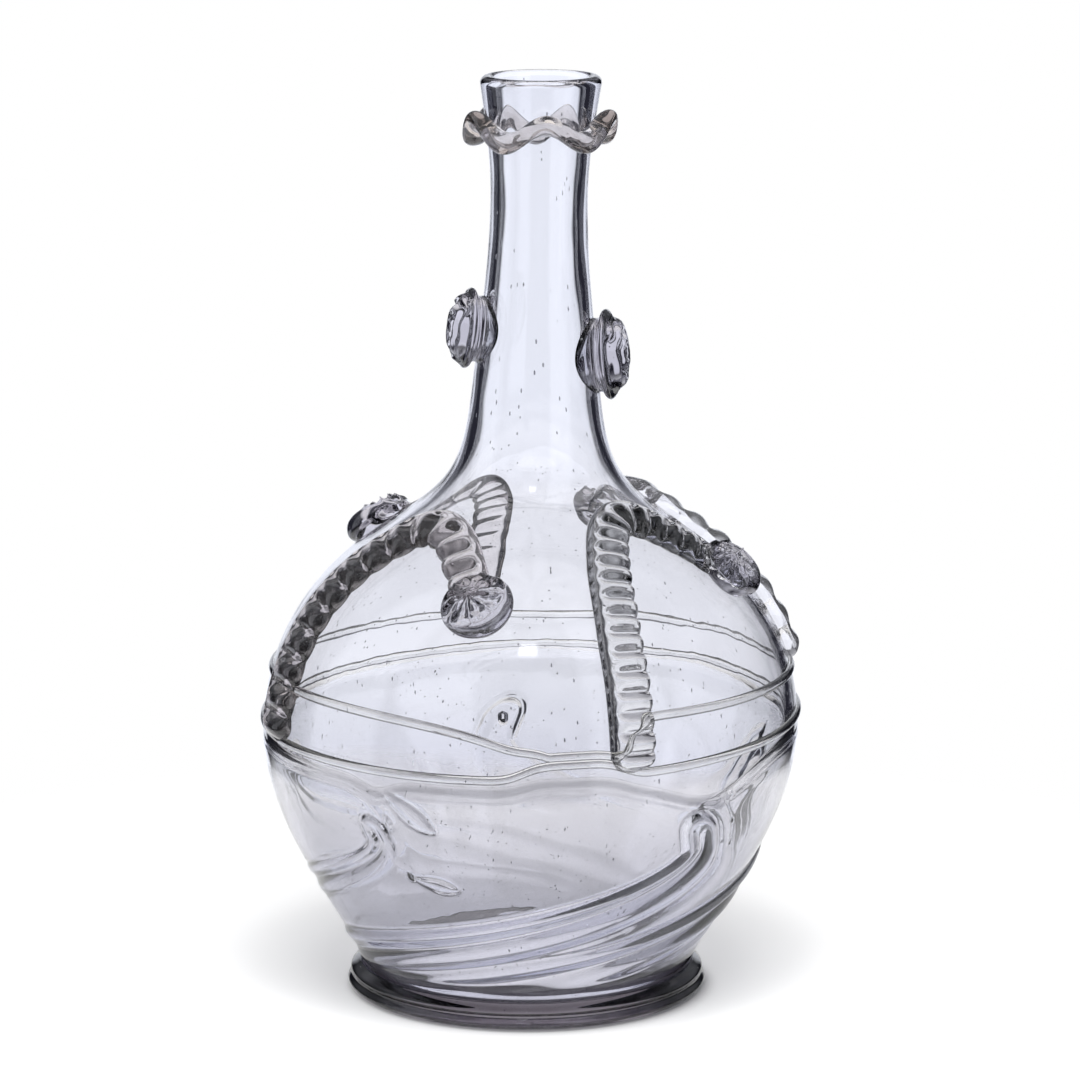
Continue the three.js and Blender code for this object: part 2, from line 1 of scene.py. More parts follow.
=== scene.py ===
"""Looks of a blown glass carafe with hot-applied trimming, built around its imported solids.

Sizes are in millimetres. An angle is in degrees round the bottle, from the front towards +X,
and a turn is in radians. A climb is the length up the glass from the heel, and a lift is the
height over the glass. Meshes are made in metres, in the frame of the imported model.
"""

import logging
import math
from collections.abc import Callable
from dataclasses import dataclass
from enum import Enum

import bpy
import numpy as np
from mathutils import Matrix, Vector

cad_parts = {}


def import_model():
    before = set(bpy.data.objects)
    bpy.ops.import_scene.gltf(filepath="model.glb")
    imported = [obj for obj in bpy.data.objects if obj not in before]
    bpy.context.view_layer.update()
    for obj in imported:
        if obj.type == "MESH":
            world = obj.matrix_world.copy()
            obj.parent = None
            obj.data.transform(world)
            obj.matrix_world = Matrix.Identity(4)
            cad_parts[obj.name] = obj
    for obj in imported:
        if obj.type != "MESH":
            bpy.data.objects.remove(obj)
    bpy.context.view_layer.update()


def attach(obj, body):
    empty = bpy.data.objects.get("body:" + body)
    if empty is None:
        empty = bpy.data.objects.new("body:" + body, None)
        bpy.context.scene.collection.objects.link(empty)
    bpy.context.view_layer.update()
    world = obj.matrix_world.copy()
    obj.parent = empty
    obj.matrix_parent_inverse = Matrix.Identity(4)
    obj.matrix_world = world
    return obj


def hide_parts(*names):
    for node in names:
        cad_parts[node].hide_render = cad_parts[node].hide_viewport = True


LOG = logging.getLogger("carafe")
MM = 0.001
BODY = "root"
FULL_TURN = 2 * math.pi
TINY = 1e-6
Colour = tuple[float, float, float]
Relief = Callable[[np.ndarray, np.ndarray], np.ndarray]
WHITE: Colour = (1.0, 1.0, 1.0)


class Slot(Enum):
    """Material slots of the record."""

    CLEAR = "clear_glass"
    JACKET = "jacket_glass"
    FOOT = "foot_glass"
    TRIMMING = "trimming_glass"


def smooth(value: np.ndarray | float) -> np.ndarray:
    """Eases from 0 to 1 over the value's own 0 to 1."""
    t = np.clip(value, 0.0, 1.0)
    return t * t * (3 - 2 * t)


def bell(value: np.ndarray | float) -> np.ndarray:
    """A round bump of height 1 that has died away by about 2."""
    return np.exp(-np.square(value))


def between(start: float, end: float, share: float) -> float:
    """The value at a share of the way from a start to an end."""
    return start + (end - start) * share


def evenly(full: float, count: int) -> np.ndarray:
    """Even steps from 0 that stop one step short of a full round."""
    return np.linspace(0, full, count, endpoint=False)


def angle_between(start: np.ndarray | float, end: np.ndarray | float) -> np.ndarray:
    """Shortest way round from one angle to another, in degrees."""
    return np.mod(np.asarray(end) - start + 180, 360) - 180


def behind(angle: np.ndarray, starts: float, spread: float) -> np.ndarray:
    """Eases from 0 at the front to 1 behind, over a spread past the angle where it starts."""
    return smooth((np.abs(angle_between(0, angle)) - starts) / spread)


def mm_round(radius: np.ndarray) -> np.ndarray:
    """Length of one degree round the bottle at a radius."""
    return radius * math.radians(1)


def around(radius: np.ndarray, turn: np.ndarray, height: np.ndarray | float) -> np.ndarray:
    """Places round the bottle's axis.

    Args:
        radius: how far out each place is.
        turn: its turn from the front towards +X.
        height: its height.

    Returns:
        An array of places, with x, y and z along its last axis.
    """
    return np.stack(np.broadcast_arrays(
        radius * np.sin(turn), -radius * np.cos(turn), height), axis=-1)


def turned(profile: np.ndarray, angles: np.ndarray) -> np.ndarray:
    """Rings of a profile of radius and height, turned round the axis at those angles."""
    return around(profile[:, :1], np.radians(angles)[None, :], profile[:, 1:])


def bezier(corners: list[tuple[float, float]], count: int) -> np.ndarray:
    """Points of a cubic curve.

    Args:
        corners: its two ends and, between them, its two handles.
        count: how many points.

    Returns:
        An array of points, one a row.
    """
    t = np.linspace(0, 1, count)[:, None]
    a, b, c, d = np.asarray(corners, float)
    return (1 - t) ** 3 * a + 3 * t * (1 - t) ** 2 * b + 3 * t**2 * (1 - t) * c + t**3 * d


def spline(corners: np.ndarray, count: int) -> np.ndarray:
    """Points of a smooth centripetal curve through corners.

    Args:
        corners: the points that it passes through, one a row.
        count: how many points between each two of them.

    Returns:
        An array of points, one a row.
    """
    held = np.vstack([2 * corners[0] - corners[1], corners, 2 * corners[-1] - corners[-2]])
    knots = np.concatenate([[0], np.cumsum(np.linalg.norm(np.diff(held, axis=0), axis=1) ** 0.5)])
    pieces = []
    for i in range(1, len(held) - 2):
        k0, k1, k2, k3 = knots[i - 1:i + 3]
        p0, p1, p2, p3 = held[i - 1:i + 3]
        t = np.linspace(k1, k2, count, endpoint=False)[:, None]
        a1 = ((k1 - t) * p0 + (t - k0) * p1) / (k1 - k0)
        a2 = ((k2 - t) * p1 + (t - k1) * p2) / (k2 - k1)
        a3 = ((k3 - t) * p2 + (t - k2) * p3) / (k3 - k2)
        b1 = ((k2 - t) * a1 + (t - k0) * a2) / (k2 - k0)
        b2 = ((k3 - t) * a2 + (t - k1) * a3) / (k3 - k1)
        pieces.append(((k2 - t) * b1 + (t - k1) * b2) / (k2 - k1))
    return np.vstack([*pieces, corners[-1:]])


@dataclass(frozen=True)
class Ripple:
    """Gentle unevenness of hand-blown glass, as a sum of long waves round and up it.

    Attributes:
        height: how far it swells and sinks.
        turns: waves round the bottle of the first term.
        length: length of the first term's waves up the glass.
        seed: chooses the phases.
    """

    height: float
    turns: int
    length: float
    seed: int

    # Number of terms, how much shorter each one's waves are, and how they bend sideways.
    TERMS = 6
    SHORTENING = 0.6
    WANDER = 0.7

    def at(self, angle: np.ndarray, climb: np.ndarray) -> np.ndarray:
        """Works out how far the surface swells.

        Args:
            angle: the angles of the places.
            climb: their climbs.

        Returns:
            The swell at each place.
        """
        draw = np.random.default_rng(self.seed)
        total = np.zeros(np.broadcast(angle, climb).shape)
        for step in range(self.TERMS):
            turns = self.turns + step
            pitch = self.length / (1 + self.SHORTENING * step)
            phase_round, phase_up = draw.uniform(0, FULL_TURN, 2)
            wander = self.WANDER * np.sin(climb / pitch)
            wave = np.cos(turns * np.radians(angle) + phase_round + wander)
            total = total + wave * np.cos(FULL_TURN * climb / pitch + phase_up) / (1 + step)
        return self.height * total / 2


@dataclass(frozen=True)
class Outline:
    """Outside of the finished glass, from the heel to the mouth.

    Attributes:
        heel_radius: radius where the bowl starts, over the foot.
        heel_height: height of that place.
        belly_radius: radius of the widest place.
        belly_height: height of the widest place.
        dome_rise: height over the belly at which its dome would close.
        shoulder_height: where the dome turns into the root of the neck.
        neck_root_radius: radius at the top of the neck's root.
        neck_root_rise: height of the root.
        neck_taper: how fast the neck narrows over the root.
        waist_radius: radius of the neck's narrowest place.
        waist_drop: how far it is under the mouth.
        mouth_height: height of the whole bottle.
        mouth_radius: radius of the mouth.
        mouth_flare: how fast the mouth widens at its edge.
        lean: how far the bottle leans towards +X, for each millimetre of height.
        upright_height: the height that the lean leaves in place.
        heel_handle: shares of the way to the belly, outwards and up, of the bowl's lower handle.
        belly_handle: share of that way, up, of its upper handle.
        root_handles: the root's lower and upper handles, as shares of its rise.
        neck_handle: the neck's handles, as a share of its length.
        mouth_handle: the mouth's handles, as a share of its length.
    """

    heel_radius: float = 42.5
    heel_height: float = 6.0
    belly_radius: float = 69.7
    belly_height: float = 71.0
    dome_rise: float = 62.0
    shoulder_height: float = 120.0
    neck_root_radius: float = 16.45
    neck_root_rise: float = 40.0
    neck_taper: float = 0.1
    waist_radius: float = 12.5
    waist_drop: float = 31.0
    mouth_height: float = 240.0
    mouth_radius: float = 15.9
    mouth_flare: float = 0.155
    lean: float = 0.0163
    upright_height: float = 78.0
    heel_handle: tuple[float, float] = (0.36, 0.33)
    belly_handle: float = 0.615
    root_handles: tuple[float, float] = (0.35, 0.6)
    neck_handle: float = 0.37
    mouth_handle: float = 0.34

    # Points of the bowl, the dome over it, the root, the neck and the mouth.
    COUNTS = (160, 160, 120, 80, 60)

    def points(self) -> np.ndarray:
        """Works the outline out.

        Returns:
            Its points as radius and height, one a row, heel first.
        """
        dome_angle = math.asin((self.shoulder_height - self.belly_height) / self.dome_rise)
        shoulder_radius = self.belly_radius * math.cos(dome_angle)
        slope = self.belly_radius * math.tan(dome_angle) / self.dome_rise
        root_height = self.shoulder_height + self.neck_root_rise
        waist_height = self.mouth_height - self.waist_drop
        low = bezier([
            (self.heel_radius, self.heel_height),
            (between(self.heel_radius, self.belly_radius, self.heel_handle[0]),
             between(self.heel_height, self.belly_height, self.heel_handle[1])),
            (self.belly_radius, between(self.heel_height, self.belly_height, self.belly_handle)),
            (self.belly_radius, self.belly_height)], self.COUNTS[0])
        turn = np.linspace(0, dome_angle, self.COUNTS[1])
        dome = np.stack([self.belly_radius * np.cos(turn),
                         self.belly_height + self.dome_rise * np.sin(turn)], axis=1)
        lower, upper = (share * self.neck_root_rise for share in self.root_handles)
        root = bezier([
            (shoulder_radius, self.shoulder_height),
            (shoulder_radius - slope * lower, self.shoulder_height + lower),
            (self.neck_root_radius + self.neck_taper * upper, root_height - upper),
            (self.neck_root_radius, root_height)], self.COUNTS[2])
        handle = self.neck_handle * (waist_height - root_height)
        neck = bezier([
            (self.neck_root_radius, root_height),
            (self.neck_root_radius - self.neck_taper * handle, root_height + handle),
            (self.waist_radius, waist_height - handle),
            (self.waist_radius, waist_height)], self.COUNTS[3])
        flare = self.mouth_handle * self.waist_drop
        mouth = bezier([
            (self.waist_radius, waist_height),
            (self.waist_radius, waist_height + flare),
            (self.mouth_radius - self.mouth_flare * flare, self.mouth_height - flare),
            (self.mouth_radius, self.mouth_height)], self.COUNTS[4])
        return np.vstack([low, dome[1:], root[1:], neck[1:], mouth[1:]])


class GlassSurface:
    """The outside of the glass, measured by angle round it and length climbed up its outline."""

    def __init__(self, outline: Outline) -> None:
        """Measures the outline once.

        Args:
            outline: the outside of the glass.
        """
        samples = outline.points()
        steps = np.linalg.norm(np.diff(samples, axis=0), axis=1)
        self.outline = outline
        self.climbed = np.concatenate([[0], np.cumsum(steps)])
        self.length = float(self.climbed[-1])
        self.radii, self.heights = samples.T
        along = np.gradient(samples, self.climbed, axis=0)
        self.along = along / np.linalg.norm(along, axis=1)[:, None]

    def climb_at(self, height: np.ndarray | float) -> np.ndarray:
        """Length climbed up to a height."""
        return np.interp(height, self.heights, self.climbed)

    def profile(self, climb: np.ndarray, lift: np.ndarray | float) -> tuple[np.ndarray, np.ndarray]:
        """Finds places on the bottle's profile.

        Args:
            climb: their climbs.
            lift: their lifts, below 0 inside the glass.

        Returns:
            Their radii and heights.
        """
        radius = np.interp(climb, self.climbed, self.radii)
        height = np.interp(climb, self.climbed, self.heights)
        run = np.interp(climb, self.climbed, self.along[:, 0])
        rise = np.interp(climb, self.climbed, self.along[:, 1])
        return radius + rise * lift, height - run * lift

    def point(self, angle: np.ndarray, climb: np.ndarray, lift: np.ndarray | float) -> np.ndarray:
        """Place at an angle, a climb and a lift."""
        radius, height = self.profile(climb, lift)
        return around(radius, np.radians(angle), height)

    def frame(self, angle: float, climb: float) -> tuple[np.ndarray, ...]:
        """Works out the frame that a piece stuck on the glass sits in.

        Args:
            angle: where the piece is round the bottle.
            climb: where it is up the bottle.

        Returns:
            Its origin on the glass, and its directions across, up the glass and outwards.
        """
        origin = self.point(angle, climb, 0)
        out = self.point(angle, climb, 1) - origin
        turn = math.radians(angle)
        across = np.array([math.cos(turn), math.sin(turn), 0])
        return origin, across, np.cross(out, across), out


class Skin:
    """A closed body skinned over rings of points."""

    def __init__(self, rings: np.ndarray, closed: bool) -> None:
        """Takes the rings.

        Args:
            rings: an array of rings of points.
            closed: True where the last ring meets the first, False where both are capped.
        """
        ring_count, count = rings.shape[:2]
        corners = rings.reshape(-1, 3)
        here = np.arange(ring_count if closed else ring_count - 1)[:, None] * count
        after = (here + count) % (ring_count * count)
        j = np.arange(count)[None, :]
        k = (j + 1) % count
        quads = np.stack([here + j, after + j, after + k, here + k], axis=-1).reshape(-1, 4)
        fans = np.zeros((0, 3), int)
        if not closed:
            start = len(corners)
            last = (ring_count - 1) * count
            corners = np.vstack([corners, rings[0].mean(0), rings[-1].mean(0)])
            j, k = j[0], k[0]
            fans = np.vstack([np.stack([np.full(count, start), j, k], axis=1),
                              np.stack([np.full(count, start + 1), last + k, last + j], axis=1)])
        self.corners, self.quads, self.fans = corners, quads, fans
        if self.volume() < 0:
            self.quads, self.fans = quads[:, ::-1], fans[:, ::-1]

    def volume(self) -> float:
        """Adds up the body's volume.

        Returns:
            The signed volume, above 0 where the faces point out.
        """
        sides = np.vstack([self.quads[:, [0, 1, 2]], self.quads[:, [0, 2, 3]], self.fans])
        a, b, c = (self.corners[sides[:, i]] for i in range(3))
        return float(np.einsum("ij,ij->i", a, np.cross(b, c)).sum() / 6)

    def mesh(self, name: str, outline: Outline) -> bpy.types.Mesh:
        """Makes the Blender mesh, in metres and with the bottle's lean.

        Args:
            name: the mesh's name.
            outline: says how far the bottle leans.

        Returns:
            The mesh, smooth all over.
        """
        places = self.corners * MM
        places[:, 0] += outline.lean * (places[:, 2] - outline.upright_height * MM)
        mesh = bpy.data.meshes.new(name)
        mesh.vertices.add(len(places))
        mesh.vertices.foreach_set("co", places.ravel())
        loops = np.concatenate([self.quads.ravel(), self.fans.ravel()])
        mesh.loops.add(len(loops))
        mesh.loops.foreach_set("vertex_index", loops.astype(np.int32))
        sizes = np.concatenate([np.full(len(self.quads), 4), np.full(len(self.fans), 3)])
        starts = np.concatenate([[0], np.cumsum(sizes)[:-1]])
        mesh.polygons.add(len(sizes))
        mesh.polygons.foreach_set("loop_start", starts.astype(np.int32))
        mesh.polygons.foreach_set("use_smooth", np.ones(len(sizes), bool))
        mesh.update(calc_edges=True)
        mesh.validate()
        return mesh


class Wire:
    """A shader value that Python expressions can use."""

    def __init__(self, bench: "Bench", socket: bpy.types.NodeSocket) -> None:
        """Wraps one output socket."""
        self.bench = bench
        self.socket = socket

    def __add__(self, other: "Wire | float") -> "Wire":
        """Sum."""
        return self.bench.maths("ADD", self, other)

    def __radd__(self, other: float) -> "Wire":
        """Sum with a number first."""
        return self.bench.maths("ADD", other, self)

    def __sub__(self, other: "Wire | float") -> "Wire":
        """Difference."""
        return self.bench.maths("SUBTRACT", self, other)

    def __rsub__(self, other: float) -> "Wire":
        """Difference from a number."""
        return self.bench.maths("SUBTRACT", other, self)

    def __mul__(self, other: "Wire | float") -> "Wire":
        """Product."""
        return self.bench.maths("MULTIPLY", self, other)

    def __rmul__(self, other: float) -> "Wire":
        """Product with a number first."""
        return self.bench.maths("MULTIPLY", other, self)

    def eased(self, low: float, high: float) -> "Wire":
        """Eases from 0 at low to 1 at high, which may be the lower number."""
        return self.bench.node(
            "ShaderNodeMapRange",
            {"Value": self, "From Min": low, "From Max": high},
            interpolation_type="SMOOTHSTEP")["Result"]


class Fitting:
    """A shader node whose outputs are wires."""

    def __init__(self, bench: "Bench", node: bpy.types.Node) -> None:
        """Wraps one node."""
        self.bench = bench
        self.node = node

    def __getitem__(self, output: str | int) -> Wire:
        """The output of that name or number."""
        return Wire(self.bench, self.node.outputs[output])


class Bench:
    """Builds the nodes of one material or world."""

    def __init__(self, tree: bpy.types.NodeTree) -> None:
        """Clears the node tree."""
        self.tree = tree
        tree.nodes.clear()

    def node(self, kind: str, values: dict | None = None, **settings: object) -> Fitting:
        """Adds a node.

        Args:
            kind: the node's type.
            values: numbers, colours or wires by socket name or number.
            settings: the node's own settings, which are set first.

        Returns:
            The node, wrapped.
        """
        node = self.tree.nodes.new(kind)
        for name, value in settings.items():
            setattr(node, name, value)
        for name, value in (values or {}).items():
            if isinstance(value, Wire):
                self.tree.links.new(value.socket, node.inputs[name])
            else:
                node.inputs[name].default_value = value
        return Fitting(self, node)

    def maths(self, operation: str, *values: Wire | float) -> Wire:
        """Adds a Math node for an operation on values."""
        return self.node("ShaderNodeMath", dict(enumerate(values)), operation=operation)["Value"]

    def blend(self, share: Wire | float, low: Wire | Colour, high: Wire | Colour) -> Wire:
        """Mixes two colours.

        Args:
            share: how much of the second colour there is.
            low: the first colour.
            high: the second colour.

        Returns:
            The mixed colour.
        """
        sockets = {0: share, 6: low, 7: high}
        values = {key: (*value, 1.0) if isinstance(value, tuple) else value
                  for key, value in sockets.items()}
        return self.node("ShaderNodeMix", values, data_type="RGBA")[2]


@dataclass(frozen=True)
class GlassFinish:
    """Old hand-blown glass: its tint by depth, its seeds, cords and fire-polished waviness.

    Attributes:
        name: the material's name.
        absorbs: how much of each colour a metre of the glass takes.
        wave: height of the surface's fine waviness.
        wave_size: size of that waviness.
        seeds: height of the marks that seeds near the surface make.
        seed_size: distance between the places where a seed may be.
        seed_chosen: draws between which such a place comes to have a seed.
        seed_edge: distances from its middle over which a seed comes in, as shares of seed_size.
        seed_tint: colour of a seed.
        drawn: how many times longer than wide the seeds are, up the bottle.
        low_tint: what a crossing of the surface keeps of each colour low on the bottle, which makes
            the glass darker towards the bottom.
        low_tint_fades: heights between which that darkening fades out.
        shade: what a lamp's light keeps where it crosses the surface squarely.
        grazed: what it keeps where it grazes the surface.
        graze_blend: how soon a surface counts as grazed.
        ior: how strongly the glass bends light.
        clearness: share that passes, where the rest is a milky veil.
    """

    name: str
    absorbs: Colour
    wave: float = 0.05
    wave_size: float = 14.0
    seeds: float = 0.2
    seed_size: float = 1.3
    seed_chosen: tuple[float, float] = (0.84, 0.98)
    seed_edge: tuple[float, float] = (0.16, 0.06)
    seed_tint: Colour = (0.3, 0.29, 0.35)
    drawn: float = 1.0
    low_tint: Colour = WHITE
    low_tint_fades: tuple[float, float] = (118.0, 160.0)
    shade: float = 0.93
    grazed: float = 0.5
    graze_blend: float = 0.35
    ior: float = 1.5
    clearness: float = 1.0

    # Keeps the absorption colour above black, at the density that goes with it.
    HEADROOM = 1.05

    def material(self) -> bpy.types.Material:
        """Makes the material.

        Returns:
            The material, with its nodes.
        """
        material = bpy.data.materials.new(self.name)
        material.use_nodes = True
        bench = Bench(material.node_tree)
        place = bench.node("ShaderNodeTexCoord")["Object"]
        waves = bench.node(
            "ShaderNodeTexNoise",
            {"Vector": place, "Scale": 1 / (self.wave_size * MM), "Detail": 2.0})["Fac"]
        seed = self.seed(bench, place)
        height = waves * self.wave + seed * self.seeds
        bump = bench.node("ShaderNodeBump", {"Height": height, "Distance": MM, "Strength": 1.0})
        glass = bench.node("ShaderNodeBsdfPrincipled", {
            "Base Color": self.tint(bench, place, seed), "Normal": bump["Normal"],
            "Roughness": 0.0, "IOR": self.ior, "Transmission Weight": self.clearness})
        path = bench.node("ShaderNodeLightPath")
        surface = bench.node("ShaderNodeMixShader", {
            0: path["Is Shadow Ray"], 1: glass["BSDF"], 2: self.lamp_light(bench)})
        density = self.HEADROOM * max(self.absorbs)
        inside = bench.node("ShaderNodeVolumeAbsorption", {
            "Color": (*[1 - share / density for share in self.absorbs], 1.0),
            "Density": density})
        bench.node("ShaderNodeOutputMaterial", {
            "Surface": surface["Shader"], "Volume": inside["Volume"]})
        return material

    def seed(self, bench: Bench, place: Wire) -> Wire:
        """Scatters the seeds, small drawn bubbles.

        Args:
            bench: builds the nodes.
            place: the place on the bottle.

        Returns:
            A value of 1 on a seed and 0 beside it.
        """
        stretched = bench.node(
            "ShaderNodeMapping",
            {"Vector": place, "Scale": (1.0, 1.0, 1 / self.drawn)})["Vector"]
        near = bench.node(
            "ShaderNodeTexVoronoi",
            {"Vector": stretched, "Scale": 1 / (self.seed_size * MM), "Randomness": 1.0})
        chosen = bench.node(
            "ShaderNodeTexWhiteNoise", {"Vector": near["Position"]},
            noise_dimensions="3D")["Value"].eased(*self.seed_chosen)
        return near["Distance"].eased(*self.seed_edge) * chosen

    def tint(self, bench: Bench, place: Wire, seed: Wire) -> Wire:
        """Darkens the glass low on the bottle, and tints its seeds.

        Args:
            bench: builds the nodes.
            place: the place on the bottle.
            seed: where the seeds are.

        Returns:
            The colour of the surface.
        """
        level = bench.node("ShaderNodeSeparateXYZ", {0: place})["Z"]
        high = level.eased(self.low_tint_fades[0] * MM, self.low_tint_fades[1] * MM)
        return bench.blend(seed, bench.blend(high, self.low_tint, WHITE), self.seed_tint)

    def lamp_light(self, bench: Bench) -> Wire:
        """Lets a lamp's light through, so that the glass casts a pale shadow.

        Args:
            bench: builds the nodes.

        Returns:
            The shader that such light meets.
        """
        square = bench.node("ShaderNodeBsdfTransparent", {"Color": (*[self.shade] * 3, 1.0)})
        grazed = bench.node("ShaderNodeBsdfTransparent", {"Color": (*[self.grazed] * 3, 1.0)})
        facing = bench.node("ShaderNodeLayerWeight", {"Blend": self.graze_blend})["Facing"]
        return bench.node("ShaderNodeMixShader", {
            0: facing, 1: square["BSDF"], 2: grazed["BSDF"]})["Shader"]


CLEAR = GlassFinish("clear_glass", (17.0, 16.5, 10.0), drawn=4.0, low_tint=(0.97, 0.963, 0.951))
JACKET = GlassFinish("jacket_glass", (76.0, 72.0, 54.0), wave=0.06, wave_size=12.0,
                     low_tint=(0.78, 0.78, 0.835), low_tint_fades=(26.0, 72.0))
FOOT = GlassFinish("foot_glass", (150.0, 160.0, 147.0), wave=0.04, wave_size=12.0)
THREAD = GlassFinish("thread_glass", (24.0, 24.0, 34.0), wave_size=8.0)
TRIM = GlassFinish("trimming_glass", (22.0, 23.0, 26.0), wave=0.06, wave_size=7.0)
VEILED = GlassFinish("veiled_glass", (26.0, 31.0, 34.0), wave=0.06, wave_size=7.0,
                     low_tint=(0.95, 0.93, 0.93), low_tint_fades=(240.0, 260.0), clearness=0.992)
PALE = GlassFinish("pale_glass", (10.0, 11.0, 10.0), wave=0.06, wave_size=7.0, clearness=0.955)
COLLAR = GlassFinish("collar_glass", (52.0, 62.0, 68.0), wave=0.06, wave_size=7.0,
                     clearness=0.985)
DENSE = GlassFinish("prunt_glass", (32.0, 34.0, 29.0), wave_size=8.0)


class Blower:
    """Makes and dresses pieces on one bottle."""

    def __init__(self, surface: GlassSurface) -> None:
        """Takes the bottle's surface."""
        self.surface = surface
        self.materials: dict[str, bpy.types.Material] = {}

    def piece(self, name: str, skin: Skin, finish: GlassFinish, slot: Slot, *nodes: str) -> None:
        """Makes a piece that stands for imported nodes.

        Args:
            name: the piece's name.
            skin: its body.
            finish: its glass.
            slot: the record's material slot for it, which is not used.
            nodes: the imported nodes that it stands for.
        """
        if finish.name not in self.materials:
            self.materials[finish.name] = finish.material()
        mesh = skin.mesh(name, self.surface.outline)
        mesh.materials.append(self.materials[finish.name])
        piece = bpy.data.objects.new(name, mesh)
        bpy.context.scene.collection.objects.link(piece)
        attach(piece, BODY)
        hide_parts(*nodes)
        LOG.info("%s: %d corners for %s", name, len(mesh.vertices), ", ".join(nodes))


@dataclass(frozen=True)
class Threads:
    """Two girdle threads, nipped together at one place.

    Attributes:
        width: width of a thread.
        proud: how far it stands out of the glass.
        sunk: how far it sinks into it.
        lower_height: middle height of the lower thread.
        lower_sway: how far it slopes up and down round the bottle.
        lower_low_angle: where that slope is lowest.
        upper_height: height of the upper thread.
        nip_angle: where the two are nipped together.
        nip_rise: how far the lower one is pulled up there.
        nip_spread: how wide the pull is, in degrees.
        nip_start: how far before the nip the upper one has come down.
        nip_end: how far after the nip it starts back up.
        nip_approach: how gently it comes down, in degrees.
        nip_return: how gently it goes back up.
        nip_apart: how far it stays over the lower one.
        back_proud: share of the stand that is left behind the bottle.
        back_starts: angle past which the rest is lost.
        back_spread: over how many degrees.
        swell: how much the thickness changes on the way.
        swell_turns: how many times it changes.
        swell_phase: where it starts to, as a turn.
    """

    width: float = 2.4
    proud: float = 1.05
    sunk: float = 0.35
    lower_height: float = 74.3
    lower_sway: float = 2.6
    lower_low_angle: float = -25.0
    upper_height: float = 86.3
    nip_angle: float = 9.0
    nip_rise: float = 3.7
    nip_spread: float = 11.5
    nip_start: float = 5.2
    nip_end: float = 8.5
    nip_approach: float = 14.5
    nip_return: float = 4.5
    nip_apart: float = 2.1
    back_proud: float = 0.55
    back_starts: float = 90.0
    back_spread: float = 60.0
    swell: float = 0.12
    swell_turns: int = 5
    swell_phase: float = 1.0

    # Points along a thread and round its section.
    ALONG = 540
    SECTION = 20

    def lower(self, angle: np.ndarray | float, lifted: float = 1.0) -> np.ndarray:
        """Finds the lower thread.

        Args:
            angle: angles round the bottle.
            lifted: share of its lift at the nip that counts.

        Returns:
            Its height at each angle.
        """
        sway = self.lower_sway * np.cos(np.radians(angle - self.lower_low_angle))
        away = angle_between(self.nip_angle, angle)
        nip = self.nip_rise * bell(np.square(away / self.nip_spread))
        return self.lower_height - sway + lifted * nip

    def upper(self, angle: np.ndarray | float) -> np.ndarray:
        """Finds the upper thread.

        Args:
            angle: angles round the bottle.

        Returns:
            Its height at each angle.
        """
        away = angle_between(self.nip_angle, angle)
        before = np.maximum(-away - self.nip_start, 0)
        after = np.maximum(away - self.nip_end, 0)
        share = np.exp(-before / self.nip_approach) * bell(after / self.nip_return)
        nipped = self.lower(angle) + self.nip_apart
        return self.upper_height - (self.upper_height - nipped) * share

    def skin(self, surface: GlassSurface, heights: np.ndarray, angles: np.ndarray) -> Skin:
        """Makes a thread's body.

        Args:
            surface: the glass that it lies on.
            heights: its heights.
            angles: the angles of those heights, all the way round.

        Returns:
            The body.
        """
        turn = evenly(FULL_TURN, self.SECTION)
        aside = np.cos(turn) * self.width / 2
        lift = np.where(np.sin(turn) > 0, self.proud * np.abs(np.sin(turn)),
                        -self.sunk * np.abs(np.sin(turn)) ** 0.5)
        climb = surface.climb_at(heights)[:, None] + aside[None, :]
        lost = (1 - self.back_proud) * behind(angles, self.back_starts, self.back_spread)
        swell = np.sin(np.radians(self.swell_turns * angles) + self.swell_phase)
        tall = 1 + self.swell * swell - lost
        uneven = np.where(lift > 0, tall[:, None], 1)
        return Skin(surface.point(angles[:, None], climb, lift[None, :] * uneven), True)

    def build(self, blower: Blower) -> None:
        """Makes both threads.

        Args:
            blower: makes the pieces.
        """
        angles = evenly(360, self.ALONG)
        for name, heights in (("upper", self.upper(angles)), ("lower", self.lower(angles))):
            skin = self.skin(blower.surface, heights, angles)
            blower.piece(f"girdle_thread_{name}", skin, THREAD, Slot.TRIMMING, f"{name}_thread")


